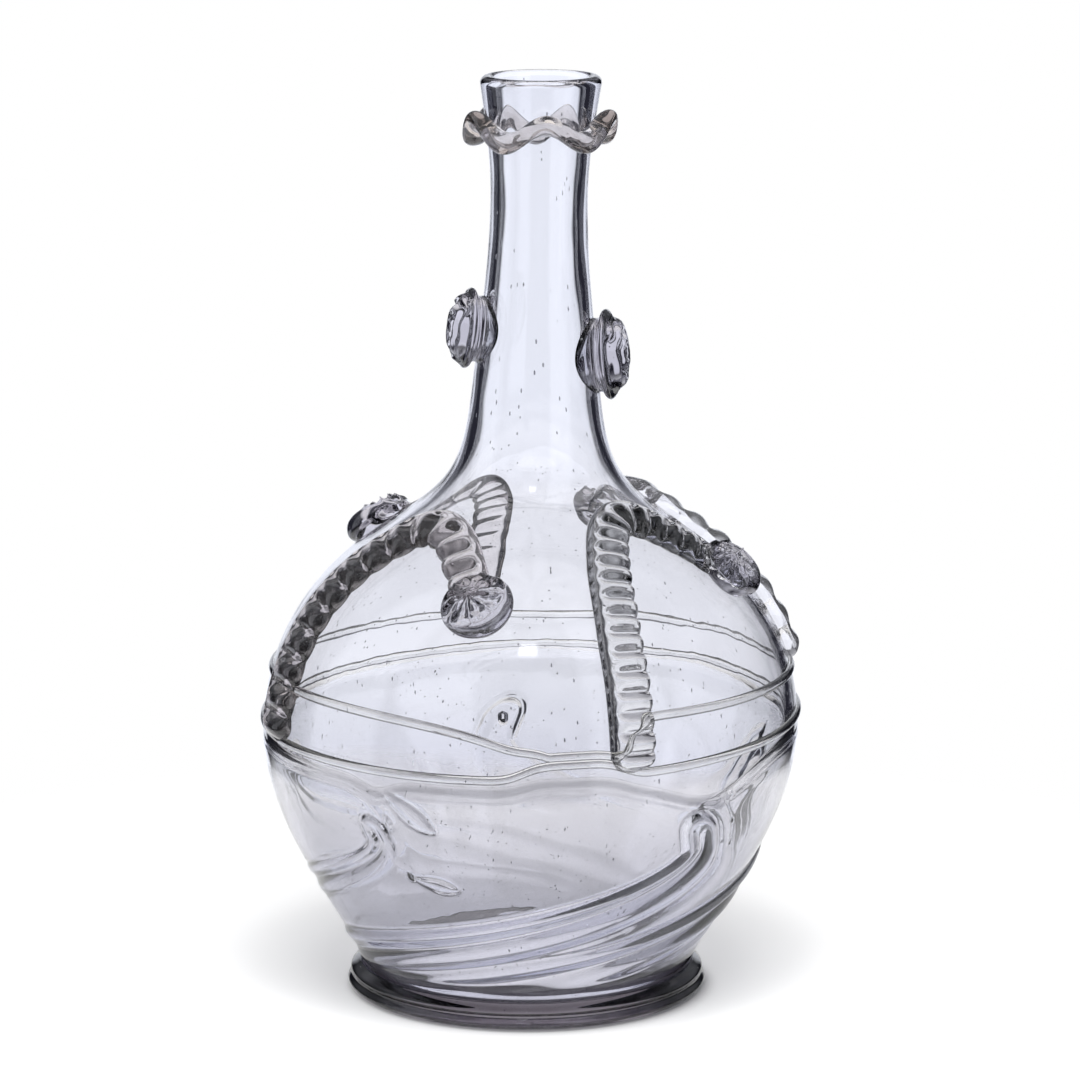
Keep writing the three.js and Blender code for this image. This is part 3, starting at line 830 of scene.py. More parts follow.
@dataclass(frozen=True)
class Vessel:
    """The first blown bubble: kick, bowl, shoulder, neck and mouth in one wall.

    Attributes:
        wall: thickness of the wall.
        lip_wall: thickness at the lip.
        lip_depth: how far down the wall thickens towards the lip.
        base_wall: thickness of the base.
        kick_height: height of the kick under the base.
        kick_radius: radius where the kick starts.
        kick_handles: shares of that radius where the kick's top and side bend.
        pole: radius of the innermost ring.
        heel_lift: height of the base's underside over the table.
        heel_tuck: how far in the heel's last bend is.
        well_tuck: how far in and down the inside goes on before it bends to the floor.
        well_reach: how far out of the kick the floor's bend is.
        inner_start: how many of the outside's steps the inside stops short of the heel.
        inside: unevenness of the inside.
        outside: unevenness of the outside.
        outside_eases: lengths over which the latter comes in, from the heel and from the lip.
        inside_eases: the same lengths for the inside.
    """

    wall: float = 2.6
    lip_wall: float = 3.7
    lip_depth: float = 24.0
    base_wall: float = 3.6
    kick_height: float = 15.0
    kick_radius: float = 33.0
    kick_handles: tuple[float, float] = (0.45, 0.7)
    pole: float = 0.4
    heel_lift: float = 3.2
    heel_tuck: float = 1.2
    well_tuck: tuple[float, float] = (1.5, 3.0)
    well_reach: float = 3.0
    inner_start: int = 8
    inside: Ripple = Ripple(0.1, 2, 60.0, 7)
    outside: Ripple = Ripple(0.05, 3, 80.0, 3)
    outside_eases: tuple[float, float] = (20.0, 6.0)
    inside_eases: tuple[float, float] = (14.0, 14.0)

    # Points round a ring, and rings up the wall, over the lip, at a bend and over the kick.
    ROUND = 288
    WALL_RINGS = 330
    LIP_RINGS = 20
    BEND_RINGS = 16
    KICK_RINGS = 24

    def build(self, blower: Blower) -> None:
        """Makes the vessel.

        Args:
            blower: makes the piece.
        """
        surface = blower.surface
        angles = evenly(360, self.ROUND)
        tilt = math.atan(surface.outline.mouth_flare)
        top = surface.length - self.lip_wall / 2 * (1 + math.sin(tilt)) / math.cos(tilt)
        climbs = np.linspace(0, top, self.WALL_RINGS)
        from_heel, from_lip = self.outside_eases
        swell = self.outside.at(angles[None, :], climbs[:, None])
        swell = swell * smooth(climbs / from_heel)[:, None]
        swell = swell * smooth((top - climbs) / from_lip)[:, None]
        rings = [turned(part, angles) for part in self.underside(surface.outline)]
        rings.append(surface.point(angles[None, :], climbs[:, None], swell))
        rings.append(turned(self.lip(surface, top, tilt), angles))
        rings.extend(self.inner_rings(surface, climbs[self.inner_start:][::-1], top, angles))
        blower.piece("blown_vessel", Skin(np.vstack(rings), False), CLEAR, Slot.CLEAR, "vessel")

    def kick(self, lift: float, height: float) -> np.ndarray:
        """Draws one face of the kick.

        Args:
            lift: its height at the rim.
            height: its height in the middle.

        Returns:
            Its profile of radius and height, from the middle outwards.
        """
        crown, side = (share * self.kick_radius for share in self.kick_handles)
        return bezier([(self.pole, height), (crown, height), (side, lift),
                       (self.kick_radius, lift)], self.KICK_RINGS)

    def underside(self, outline: Outline) -> list[np.ndarray]:
        """Draws the kick and the heel.

        Args:
            outline: the outside that the heel runs into.

        Returns:
            Profiles of radius and height, from the middle outwards.
        """
        heel = bezier([(self.kick_radius, self.heel_lift),
                       ((self.kick_radius + 2 * outline.heel_radius) / 3, self.heel_lift),
                       (outline.heel_radius - self.heel_tuck,
                        (self.heel_lift + outline.heel_height) / 2),
                       (outline.heel_radius, outline.heel_height)], self.BEND_RINGS)
        return [self.kick(self.heel_lift, self.kick_height), heel[1:-1]]

    def lip(self, surface: GlassSurface, top: float, tilt: float) -> np.ndarray:
        """Draws the round lip, tangent to the wall on both sides.

        Args:
            surface: the outside of the glass.
            top: the climb at which the lip starts.
            tilt: how far the wall leans out there.

        Returns:
            Its profile of radius and height, from the outside inwards.
        """
        radius = self.lip_wall / 2
        turn = np.linspace(0, math.pi, self.LIP_RINGS)[1:-1] - tilt
        middle = np.array(surface.profile(top, -radius))
        return middle + radius * np.stack([np.cos(turn), np.sin(turn)], axis=1)

    def inner_rings(self, surface: GlassSurface, climbs: np.ndarray, top: float,
                    angles: np.ndarray) -> list[np.ndarray]:
        """Makes the rings of the inside.

        Args:
            surface: the outside of the glass.
            climbs: climbs of the rings on the wall, from the lip down.
            top: the climb at which the lip starts.
            angles: the angles of a ring's points.

        Returns:
            Rings of the wall, and of the floor and its kick.
        """
        thinned = (self.wall - self.lip_wall) * smooth(1 - (top - climbs) / self.lip_depth)
        radius, height = surface.profile(climbs, thinned - self.wall)
        low = self.heel_lift + self.base_wall
        well = bezier([(radius[-1], height[-1]),
                       (radius[-1] - self.well_tuck[0], height[-1] - self.well_tuck[1]),
                       (self.kick_radius + self.well_reach, low),
                       (self.kick_radius, low)], self.BEND_RINGS)
        kick = self.kick(low, self.kick_height + self.base_wall)[::-1]
        from_heel, from_lip = self.inside_eases
        fade = smooth((top - climbs) / from_lip) * smooth(climbs / from_heel)
        uneven = self.inside.at(angles[None, :], climbs[:, None]) * fade[:, None]
        wall = surface.point(angles[None, :], climbs[:, None],
                             uneven + thinned[:, None] - self.wall)
        return [wall, turned(np.vstack([well[1:], kick[1:]]), angles)]


@dataclass(frozen=True)
class Fold:
    """One twisted fold of the jacket and the hooked finger at its top.

    Attributes:
        angle: where the finger is.
        top: height of the middle of the finger's round end.
        twist_start: height under which the fold runs round the bottle.
        nip: how far the jacket's rim dips over the finger.
        nip_spread: how wide that dip is, in degrees.
        twist_rate: how fast the fold runs round, further down.
        twist_power: how much faster with the drop.
        hook: how far the finger's end hooks back, in degrees a millimetre.
        ridge_apart: how far the ridges at both sides are from the fold's middle.
        ridge_width: width of a ridge.
        ridge_height: height of a ridge.
        groove_depth: depth of the groove between the ridges.
        groove_width: width of the groove.
        crease_apart: how far the creases beside the ridges are from the middle.
        crease_depth: depth of a crease.
        crease_width: width of a crease.
        shoulder_apart: how far the flat shoulder at the right is from the middle.
        shoulder_height: height of the shoulder.
        shoulder_width: width of the shoulder.
        strength: how strong the whole fold is.
        tail: share of it that is left far under the finger.
        tail_reach: over how long a drop the rest is lost.
    """

    angle: float
    top: float = 54.0
    twist_start: float = 49.0
    nip: float = 4.5
    nip_spread: float = 9.0
    twist_rate: float = 0.153
    twist_power: float = 1.85
    hook: float = 0.35
    ridge_apart: float = 3.7
    ridge_width: float = 1.8
    ridge_height: float = 1.25
    groove_depth: float = 0.55
    groove_width: float = 1.1
    crease_apart: float = 6.5
    crease_depth: float = 0.3
    crease_width: float = 0.9
    shoulder_apart: float = 8.6
    shoulder_height: float = 0.5
    shoulder_width: float = 1.9
    strength: float = 1.0
    tail: float = 1.0
    tail_reach: float = 12.0

    # What is different at the fold's right side, and how far from its middle that is so.
    RIGHT_SPREAD = 3.0
    RIGHT_RIDGE_WIDER = 0.5
    RIGHT_CREASE_SHALLOWER = 0.35
    # How far over the finger's round end the groove is closed, and over how long a climb.
    GROOVE_CLOSES = (1.5, 3.0)
    # Share of the fold that is left at the foot, and where the rest comes in over it.
    FOOT_SHARE = 0.35
    FOOT_HEIGHT = 10.0
    FOOT_SPREAD = 18.0

    def relief(self, angle: np.ndarray, height: np.ndarray, radius: np.ndarray) -> np.ndarray:
        """Works out how far the fold stands out of the jacket.

        Args:
            angle: the angles of the places.
            height: their heights.
            radius: their radii.

        Returns:
            The lift at each place.
        """
        drop = np.maximum(self.twist_start - height, 0)
        back = -self.twist_rate * drop ** self.twist_power
        back = back - self.hook * np.maximum(height - self.twist_start, 0)
        rate = self.twist_rate * self.twist_power * drop ** (self.twist_power - 1)
        slant = np.hypot(1, mm_round(radius) * rate)
        aside = mm_round(radius) * angle_between(self.angle + back, angle) / slant
        away = np.hypot(aside, np.maximum(height - self.top, 0))
        right = smooth(aside / self.RIGHT_SPREAD)
        ridge_width = self.ridge_width + self.RIGHT_RIDGE_WIDER * right
        total = self.ridge_height * bell((away - self.ridge_apart) / ridge_width)
        over, closing = self.GROOVE_CLOSES
        open_end = smooth((self.top + over - height) / closing)
        total = total - self.groove_depth * bell(aside / self.groove_width) * open_end
        crease = bell((away - self.crease_apart) / self.crease_width)
        total = total - self.crease_depth * crease * (1 - self.RIGHT_CREASE_SHALLOWER * right)
        shoulder = bell((away - self.shoulder_apart) / self.shoulder_width)
        total = total + self.shoulder_height * shoulder * right
        kept = self.tail + (1 - self.tail) * smooth(1 - (self.top - height) / self.tail_reach)
        over_foot = smooth((height - self.FOOT_HEIGHT) / self.FOOT_SPREAD)
        return self.strength * kept * total * (self.FOOT_SHARE + (1 - self.FOOT_SHARE) * over_foot)


@dataclass(frozen=True)
class Leaf:
    """A leaf-shaped mark that the maker's pincers left, from its point to its round end.

    Attributes:
        angle: the angle of its point.
        height: the height of its point.
        end_angle: the angle of its round end.
        end_height: the height of its round end.
        width: width of the leaf, or 0 for a plain line.
        depth: depth of the line round it.
        line: width of that line.
        swell: how far its middle stands out.
    """

    angle: float
    height: float
    end_angle: float
    end_height: float
    width: float
    depth: float = 0.22
    line: float = 0.6
    swell: float = 0.3

    # The jacket's radius where the marks are, and the powers and the ease of a leaf's form.
    JACKET_RADIUS = 68
    POINTED = 1.5
    BLUNT = 0.7
    SOFT = 0.1

    def relief(self, angle: np.ndarray, height: np.ndarray, radius: np.ndarray) -> np.ndarray:
        """Works out how far the mark raises the glass.

        Args:
            angle: the angles of the places.
            height: their heights.
            radius: their radii.

        Returns:
            The lift at each place.
        """
        x = mm_round(radius) * angle_between(self.angle, angle)
        y = height - self.height
        run = np.array([math.radians(1) * self.JACKET_RADIUS * (self.end_angle - self.angle),
                        self.end_height - self.height])
        length = np.linalg.norm(run)
        along = (x * run[0] + y * run[1]) / length**2
        across = np.abs(x * run[1] - y * run[0]) / length
        inside = np.clip(along, 0, 1)
        half = self.width / 2 * np.sin(math.pi * inside**self.POINTED) ** self.BLUNT
        past = np.abs(along - inside) * length
        edge = bell(np.hypot(across - half, past) / self.line)
        body = smooth(1 - across / (half + self.SOFT)) * (past == 0)
        return self.swell * body - self.depth * edge


@dataclass(frozen=True)
class Gather:
    """The thick lower jacket, whose twisted folds are nipped into hooked fingers.

    Attributes:
        threads: the girdle threads, which the jacket ends under.
        sunk: how far its inside sinks into the vessel.
        proud: how far its plain outside stands out.
        seat: how far over its inside the outside starts, at the rim.
        lowest: height of its lower end.
        foot_ease: over how long a climb the folds come in over that end.
        rim_proud: how far the rolled rim stands out.
        rim_roll: how far under the edge the roll is.
        rim_edge: depth of the dip right under the edge.
        rim_line: depth of the line under the roll.
        rim_line_drop: how far under the edge that line is.
        rim_line_width: width of the line.
        rim_gap: gap between the edge and the lower thread.
        rim_taper: over how long a climb the jacket thins out to the edge.
        rim_lifted: share of the thread's lift at its nip that the edge follows.
        rim_end: share of the height that the last step up to the edge takes.
        rim_calm: over how long a drop the folds come in under the edge.
        back_starts: angle past which the edge comes up to the thread.
        back_spread: over how many degrees.
        uneven: unevenness of the outside.
        uneven_ease: over how long a drop that comes in under the edge.
    """

    threads: Threads
    sunk: float = 0.4
    proud: float = 0.15
    seat: float = 0.01
    lowest: float = 6.6
    foot_ease: float = 8.0
    rim_proud: float = 0.2
    rim_roll: float = 3.4
    rim_edge: float = 0.12
    rim_line: float = 0.15
    rim_line_drop: float = 3.6
    rim_line_width: float = 0.5
    rim_gap: float = 0.6
    rim_taper: float = 4.0
    rim_lifted: float = 0.6
    rim_end: float = 0.0008
    rim_calm: float = 3.0
    back_starts: float = 80.0
    back_spread: float = 50.0
    uneven: Ripple = Ripple(0.1, 2, 50.0, 21)
    uneven_ease: float = 10.0

    # Points round the jacket, up its outside and down its inside.
    ROUND = 1080
    UP = 180
    DOWN = 40

    FOLDS = (Fold(41.5, 54.0, 49.0, 7.5, 14.0), Fold(113.0, nip=1.5),
             Fold(189.1, 55.4, nip=0.0, ridge_height=0.5, groove_depth=0.0, crease_apart=5.8,
                  crease_depth=0.8, crease_width=0.75, shoulder_height=0.0, tail=0.1),
             Fold(257.0, nip=0.0, strength=0.3),
             Fold(326.0, 55.5, 53.0, 2.6, 5.0, ridge_apart=2.4, ridge_width=1.5, ridge_height=0.65,
                  groove_depth=0.3, crease_apart=4.3, crease_depth=0.42, crease_width=0.55,
                  shoulder_apart=6.5, shoulder_height=0.15, tail=0.6))
    MARKS = (Leaf(-33.0, 67.5, -20.4, 57.0, 5.2, 0.38, 0.5),
             Leaf(-28.0, 43.6, -17.6, 41.0, 3.6, 0.26, 0.6),
             Leaf(-31.6, 60.5, -30.8, 56.2, 2.6, 0.4, 0.5),
             Leaf(-33.2, 68.1, -32.6, 66.3, 0.0, 0.75, 0.65, 0.0),
             Leaf(-28.3, 44.4, -27.8, 43.0, 0.0, 0.7, 0.6, 0.0),
             Leaf(31.2, 70.6, 45.6, 66.0, 0.0, 0.35, 0.45, 0.0),
             Leaf(46.0, 64.6, 48.2, 62.4, 1.7, 0.35, 0.5, 0.2),
             Leaf(45.0, 62.2, 49.4, 55.2, 0.0, 0.25, 0.5, 0.0),
             Leaf(49.4, 55.2, 51.4, 48.4, 0.0, 0.25, 0.5, 0.0),
             Leaf(186.4, 56.0, 186.4, 54.6, 0.0, 1.2, 0.95, 0.0))

    def rim(self, angle: np.ndarray) -> np.ndarray:
        """Finds the jacket's wavy upper edge.

        Args:
            angle: angles round the bottle.

        Returns:
            Its height at each angle.
        """
        closed = 1 - behind(angle, self.back_starts, self.back_spread)
        gap = (self.threads.width / 2 + self.rim_gap) * closed
        under = self.threads.lower(angle, self.rim_lifted) - gap
        nips = [fold.nip * bell(angle_between(fold.angle, angle) / fold.nip_spread)
                for fold in self.FOLDS]
        return under - np.max(nips, axis=0)

    def outside(self, surface: GlassSurface, angles: np.ndarray, climb: np.ndarray,
                below: np.ndarray) -> np.ndarray:
        """Works out how far the jacket's outside stands over the vessel.

        Args:
            surface: the outside of the glass.
            angles: the angles of the places, one a row.
            climb: their climbs, a row for each angle.
            below: how far each place is under the edge.

        Returns:
            The lift at each place.
        """
        radius, height = surface.profile(climb, 0)
        rolled = self.rim_proud * bell((below - self.rim_roll) / self.rim_roll)
        edge = self.rim_edge * bell(below / self.rim_gap)
        edge = edge + self.rim_line * bell((below - self.rim_line_drop) / self.rim_line_width)
        shapes = (*self.FOLDS, *self.MARKS)
        relief = sum(shape.relief(angles, height, radius) for shape in shapes)
        swell = self.uneven.at(angles, climb) * smooth(below / self.uneven_ease)
        over_foot = smooth((climb - surface.climb_at(self.lowest)) / self.foot_ease)
        shaped = over_foot * (relief + swell) * smooth(below / self.rim_calm)
        full = self.proud + rolled - edge + shaped
        return (full + self.sunk) * smooth(below / self.rim_taper) - self.sunk + self.seat

    def build(self, blower: Blower) -> None:
        """Makes the jacket.

        Args:
            blower: makes the piece.
        """
        surface = blower.surface
        angles = evenly(360, self.ROUND)
        bottom = float(surface.climb_at(self.lowest))
        top = surface.climb_at(self.rim(angles))[:, None]
        share = np.append(np.linspace(0, 1 - self.rim_end, self.UP), 1)[None, :]
        climb = bottom + (top - bottom) * share
        lift = self.outside(surface, angles[:, None], climb, top - climb)
        outer = surface.point(angles[:, None], climb, lift)
        share = np.append(1, np.linspace(1 - self.rim_end, 0, self.DOWN))[None, :]
        climb = bottom + (top - bottom) * share
        inner = surface.point(angles[:, None], climb, -self.sunk)
        skin = Skin(np.concatenate([outer, inner], axis=1), True)
        blower.piece("jacket_gather", skin, JACKET, Slot.JACKET, "second_gather")


@dataclass(frozen=True)
class Foot:
    """The ring wound round the base.

    Attributes:
        radius: radius of its rim.
        bore: radius of the hole in it.
        height: how high it reaches.
        edge: size of its round lower edge.
        groove: depth of the groove round it.
        shoulder_steps: how far in the inner face is from the shoulder, at the top and lower.
        inner_heights: heights of the inner face's bends, going down.
        bore_flare: how far out of the bore the lower bend is.
    """

    radius: float = 47.1
    bore: float = 35.5
    height: float = 7.0
    edge: float = 2.4
    groove: float = 1.1
    shoulder_steps: tuple[float, float] = (3.0, 5.5)
    inner_heights: tuple[float, float, float] = (5.2, 4.0, 2.6)
    bore_flare: float = 1.5

    # Bends of the lower edge, as shares of its size: how far in and how high.
    EDGE = ((1, 0), (0.35, 0.25), (0, 0.8))
    # Heights of the groove and of the bend over it, as shares, and that bend's share of the edge.
    GROOVE_UP = 0.5
    BEND_UP = 0.7
    BEND_IN = 0.3
    # Points round the foot, from bend to bend and on its flat underside.
    ROUND = 288
    STEPS = 12
    UNDER = 8

    def build(self, blower: Blower) -> None:
        """Makes the foot.

        Args:
            blower: makes the piece.
        """
        surface = blower.surface
        shoulder = float(surface.profile(surface.climb_at(self.height), 1)[0])
        edge = spline(np.array([
            *((self.radius - inwards * self.edge, up * self.edge) for inwards, up in self.EDGE),
            (self.radius - self.groove, self.GROOVE_UP * self.height),
            (self.radius - self.BEND_IN * self.edge, self.BEND_UP * self.height),
            (shoulder, self.height)]), self.STEPS)
        inner = np.array([
            (shoulder - self.shoulder_steps[0], self.height),
            (shoulder - self.shoulder_steps[1], self.inner_heights[0]),
            (self.bore + self.bore_flare, self.inner_heights[1]),
            (self.bore, self.inner_heights[2]),
            (self.bore, 0.0)])
        radii = np.linspace(self.bore, self.radius - self.edge, self.UNDER + 2)[1:-1]
        under = np.stack([radii, np.zeros(self.UNDER)], axis=1)
        rings = turned(np.vstack([edge, inner, under]), evenly(360, self.ROUND))
        blower.piece("wound_foot", Skin(rings, True), FOOT, Slot.FOOT, "foot_ring")


@dataclass(frozen=True)
class Prunt:
    """A blob of hot glass stuck on the bottle and stamped.

    Attributes:
        name: the piece's name.
        node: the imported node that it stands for.
        sunk: how far its underside sinks into the glass.
        under_shares: shares of its root's radius of the underside's rings.
        drape: height under which it follows the bottle's curve.
    """

    name: str
    node: str
    sunk: float = 0.5
    under_shares: tuple[float, ...] = (0.35, 0.7, 1.0)
    drape: float = 3.0

    # Points round a ring.
    ROUND = 120

    def build(self, blower: Blower, angle: float, climb: float, profile: np.ndarray,
              relief: Relief) -> None:
        """Makes the prunt.

        Args:
            blower: makes the piece.
            angle: where it is round the bottle.
            climb: where it is up the bottle.
            profile: radius and height over the glass, from the glass inwards to the top.
            relief: how far the stamp raises the top, by share of the radius and turn.
        """
        surface = blower.surface
        origin, across, up, out = surface.frame(angle, climb)
        under = float(surface.profile(climb, 0)[0])
        turn = evenly(FULL_TURN, self.ROUND)[None, :]
        rings = []
        for share in self.under_shares:
            aside = share * profile[0, 0] * np.sin(turn)
            along = share * profile[0, 0] * np.cos(turn)
            rings.append(surface.point(
                angle + np.degrees(np.arcsin(aside / under)), climb + along, -self.sunk))
        far, high = profile[:, :1], profile[:, 1:]
        most = profile[:, 0].max()
        after_rim = np.cumsum(profile[:, 0] >= most - TINY) > 0
        lift = high + relief(far / most, turn) * after_rim[:, None]
        draped = smooth(1 - high / self.drape)
        sag = under - np.sqrt(np.maximum(under**2 - np.square(far * np.sin(turn)), 1))
        rings.append(origin + across * (far * np.sin(turn))[..., None]
                     + up * (far * np.cos(turn))[..., None]
                     + out * (lift - sag * draped)[..., None])
        blower.piece(self.name, Skin(np.vstack(rings), False), DENSE, Slot.TRIMMING, self.node)


@dataclass(frozen=True)
class Trail:
    """A crimped trail that climbs the shoulder and curls into a stamped prunt.

    Attributes:
        side: where it is, as its nodes say.
        angle: where it starts.
        turn: how far round it ends, in degrees.
        crook: height of its highest place.
        prunt_radius: radius of its prunt.
        from_upper: True where it starts on the upper thread, False on the lower one.
        width: width at its start.
        end_width: width at its end.
        thickness: how far its crests stand out.
        sunk: how far it sinks into the glass.
        crimp_depth: depth of the crimps.
        crimp_pitch: distance from crimp to crimp.
        scallop: how far the crimps cut into its right edge.
        roundness: 1 for a round top, less for a flatter one with steeper sides.
        finish: its glass.
        prunt_height: height of the prunt.
        petals: petals of the stamp's star.
    """

    side: str
    angle: float
    turn: float
    crook: float
    prunt_radius: float
    from_upper: bool
    width: float = 11.8
    end_width: float = 10.8
    thickness: float = 4.2
    sunk: float = 0.35
    crimp_depth: float = 2.1
    crimp_pitch: float = 7.2
    scallop: float = 1.0
    roundness: float = 0.75
    finish: GlassFinish = TRIM
    prunt_height: float = 7.6
    petals: int = 5

    # Shares of the turn and of the rise at the corners of the way.
    ROUTE = ((0, 0), (0, 0.36), (0.01, 0.62), (0.08, 0.84), (0.25, 0.97),
             (0.46, 1), (0.68, 0.96), (0.86, 0.86), (1, 0.72))
    # Shares of the prunt's radius and height, from the glass inwards to the top.
    DOME = ((0.78, -0.1), (0.86, 0.08), (1.0, 0.36), (0.99, 0.56), (0.88, 0.79),
            (0.68, 0.93), (0.42, 1.0), (0.18, 0.97), (0.03, 0.93))
    # Middle of the stamp's star, which is off the prunt's own middle.
    POLE = (0.28, 0.22)
    # The stamp, with widths and distances as shares of the prunt's radius.
    FLUTE_DEPTH = 1.7
    FLUTE_POWER = 0.7
    HUB = 0.3
    RING_HEIGHT = 0.3
    RING_APART = 0.42
    STAMP_RADIUS = 1.1
    STAMP_EDGE = 0.35
    EYE_DEPTH = 0.6
    EYE_WIDTH = 0.14
    # Points between the way's corners, along the trail, round its section and over the dome.
    ROUTE_STEPS = 40
    ALONG = 300
    SECTION = 40
    DOME_STEPS = 8
    # How far under its thread it starts, and the share of the prunt's radius it ends short by.
    UNDER_THREAD = 0.4
    SHORT_OF_PRUNT = 0.55
    # Length of its tapered start as a share of the width, and that taper's power and least.
    START_REACH = 0.42
    START_POWER = 2.4
    START_LEAST = 0.02
    # Powers that round its crests and its sides.
    CREST_POWER = 0.9
    SIDE_POWER = 0.85
    # Where its plain left side ends, and over what share of the half width the crimps come in.
    FLAT_SIDE = 0.8
    FLAT_EASE = 0.5

    def route(self, surface: GlassSurface, threads: Threads) -> np.ndarray:
        """Finds the way from the thread to the prunt.

        Args:
            surface: the outside of the glass.
            threads: the girdle threads.

        Returns:
            Angle and climb along the way, one place a row.
        """
        thread = threads.upper if self.from_upper else threads.lower
        start = float(thread(self.angle)) - self.UNDER_THREAD
        rise = self.crook - start
        corners = np.array([(self.angle + turn * self.turn,
                             float(surface.climb_at(start + climb * rise)))
                            for turn, climb in self.ROUTE])
        return spline(corners, self.ROUTE_STEPS)

    def section(self, steps: np.ndarray, length: float) -> tuple[np.ndarray, np.ndarray]:
        """Works out the trail's crimped section at each step.

        Args:
            steps: how far along the trail each step is.
            length: the trail's length.

        Returns:
            How far across and how far over the glass each point of each ring is.
        """
        crimps = round(length / self.crimp_pitch)
        crest = np.abs(np.sin(math.pi * crimps * steps / length)) ** self.CREST_POWER
        nearing = np.clip(1 - steps / (self.START_REACH * self.width), 0, 1)
        ends = np.sqrt(np.clip(1 - nearing ** self.START_POWER, self.START_LEAST, 1))
        half = (self.width + (self.end_width - self.width) * steps / length) / 2 * ends
        turn = evenly(FULL_TURN, self.SECTION)
        aside = np.sign(np.cos(turn)) * np.abs(np.cos(turn)) ** self.SIDE_POWER
        rise = np.abs(np.sin(turn)) ** self.roundness
        crimped = smooth((aside + self.FLAT_SIDE) / self.FLAT_EASE)
        depth = self.crimp_depth * (1 - crest)[:, None] * crimped[None, :]
        crown = self.thickness * ends[:, None] - depth * ends[:, None]
        lift = np.where(np.sin(turn) > 0, crown * rise, -self.sunk * rise)
        narrowed = half[:, None] - self.scallop * (1 - crest)[:, None] * (aside > 0)
        return aside[None, :] * narrowed, lift

    def build(self, blower: Blower, threads: Threads) -> None:
        """Makes the trail and its prunt.

        Args:
            blower: makes the pieces.
            threads: the girdle threads, one of which it starts on.
        """
        surface = blower.surface
        places = self.route(surface, threads)
        flat = surface.point(places[:, 0], places[:, 1], 0)
        along = np.concatenate([[0], np.cumsum(np.linalg.norm(np.diff(flat, axis=0), axis=1))])
        length = along[-1] - self.SHORT_OF_PRUNT * self.prunt_radius
        steps = np.linspace(0, length, self.ALONG)
        angle = np.interp(steps, along, places[:, 0])
        climb = np.interp(steps, along, places[:, 1])
        degree = mm_round(np.interp(steps, along, surface.profile(places[:, 1], 0)[0]))
        heading = np.stack([np.gradient(angle, steps) * degree, np.gradient(climb, steps)], axis=1)
        heading /= np.linalg.norm(heading, axis=1)[:, None]
        across, lift = self.section(steps, length)
        ring_angle = angle[:, None] + across * heading[:, 1:] / degree[:, None]
        ring_climb = climb[:, None] - across * heading[:, :1]
        skin = Skin(surface.point(ring_angle, ring_climb, lift), False)
        blower.piece(f"crimped_trail_{self.side}", skin, self.finish, Slot.TRIMMING,
                     f"shoulder_trail_{self.side}")
        size = [self.prunt_radius, self.prunt_height]
        profile = spline(np.array(self.DOME) * size, self.DOME_STEPS)
        prunt = Prunt(f"curl_prunt_{self.side}", f"shoulder_prunt_{self.side}")
        prunt.build(blower, *places[-1], profile, self.stamp)

    def stamp(self, share: np.ndarray, turn: np.ndarray) -> np.ndarray:
        """Works out the star that the prunt is stamped with.

        Args:
            share: shares of the prunt's radius.
            turn: turns round its middle.

        Returns:
            The lift at each place.
        """
        x = share * np.sin(turn) + self.POLE[0]
        y = share * np.cos(turn) - self.POLE[1]
        star = np.cos(self.petals * np.arctan2(x, y))
        out = np.hypot(x, y)
        flutes = -self.FLUTE_DEPTH * np.abs(star) ** self.FLUTE_POWER * smooth(out / self.HUB)
        ring = self.RING_HEIGHT * np.cos(FULL_TURN * out / self.RING_APART)
        inside = smooth((self.STAMP_RADIUS - out) / self.STAMP_EDGE)
        return (flutes + ring) * inside - self.EYE_DEPTH * bell(out / self.EYE_WIDTH)


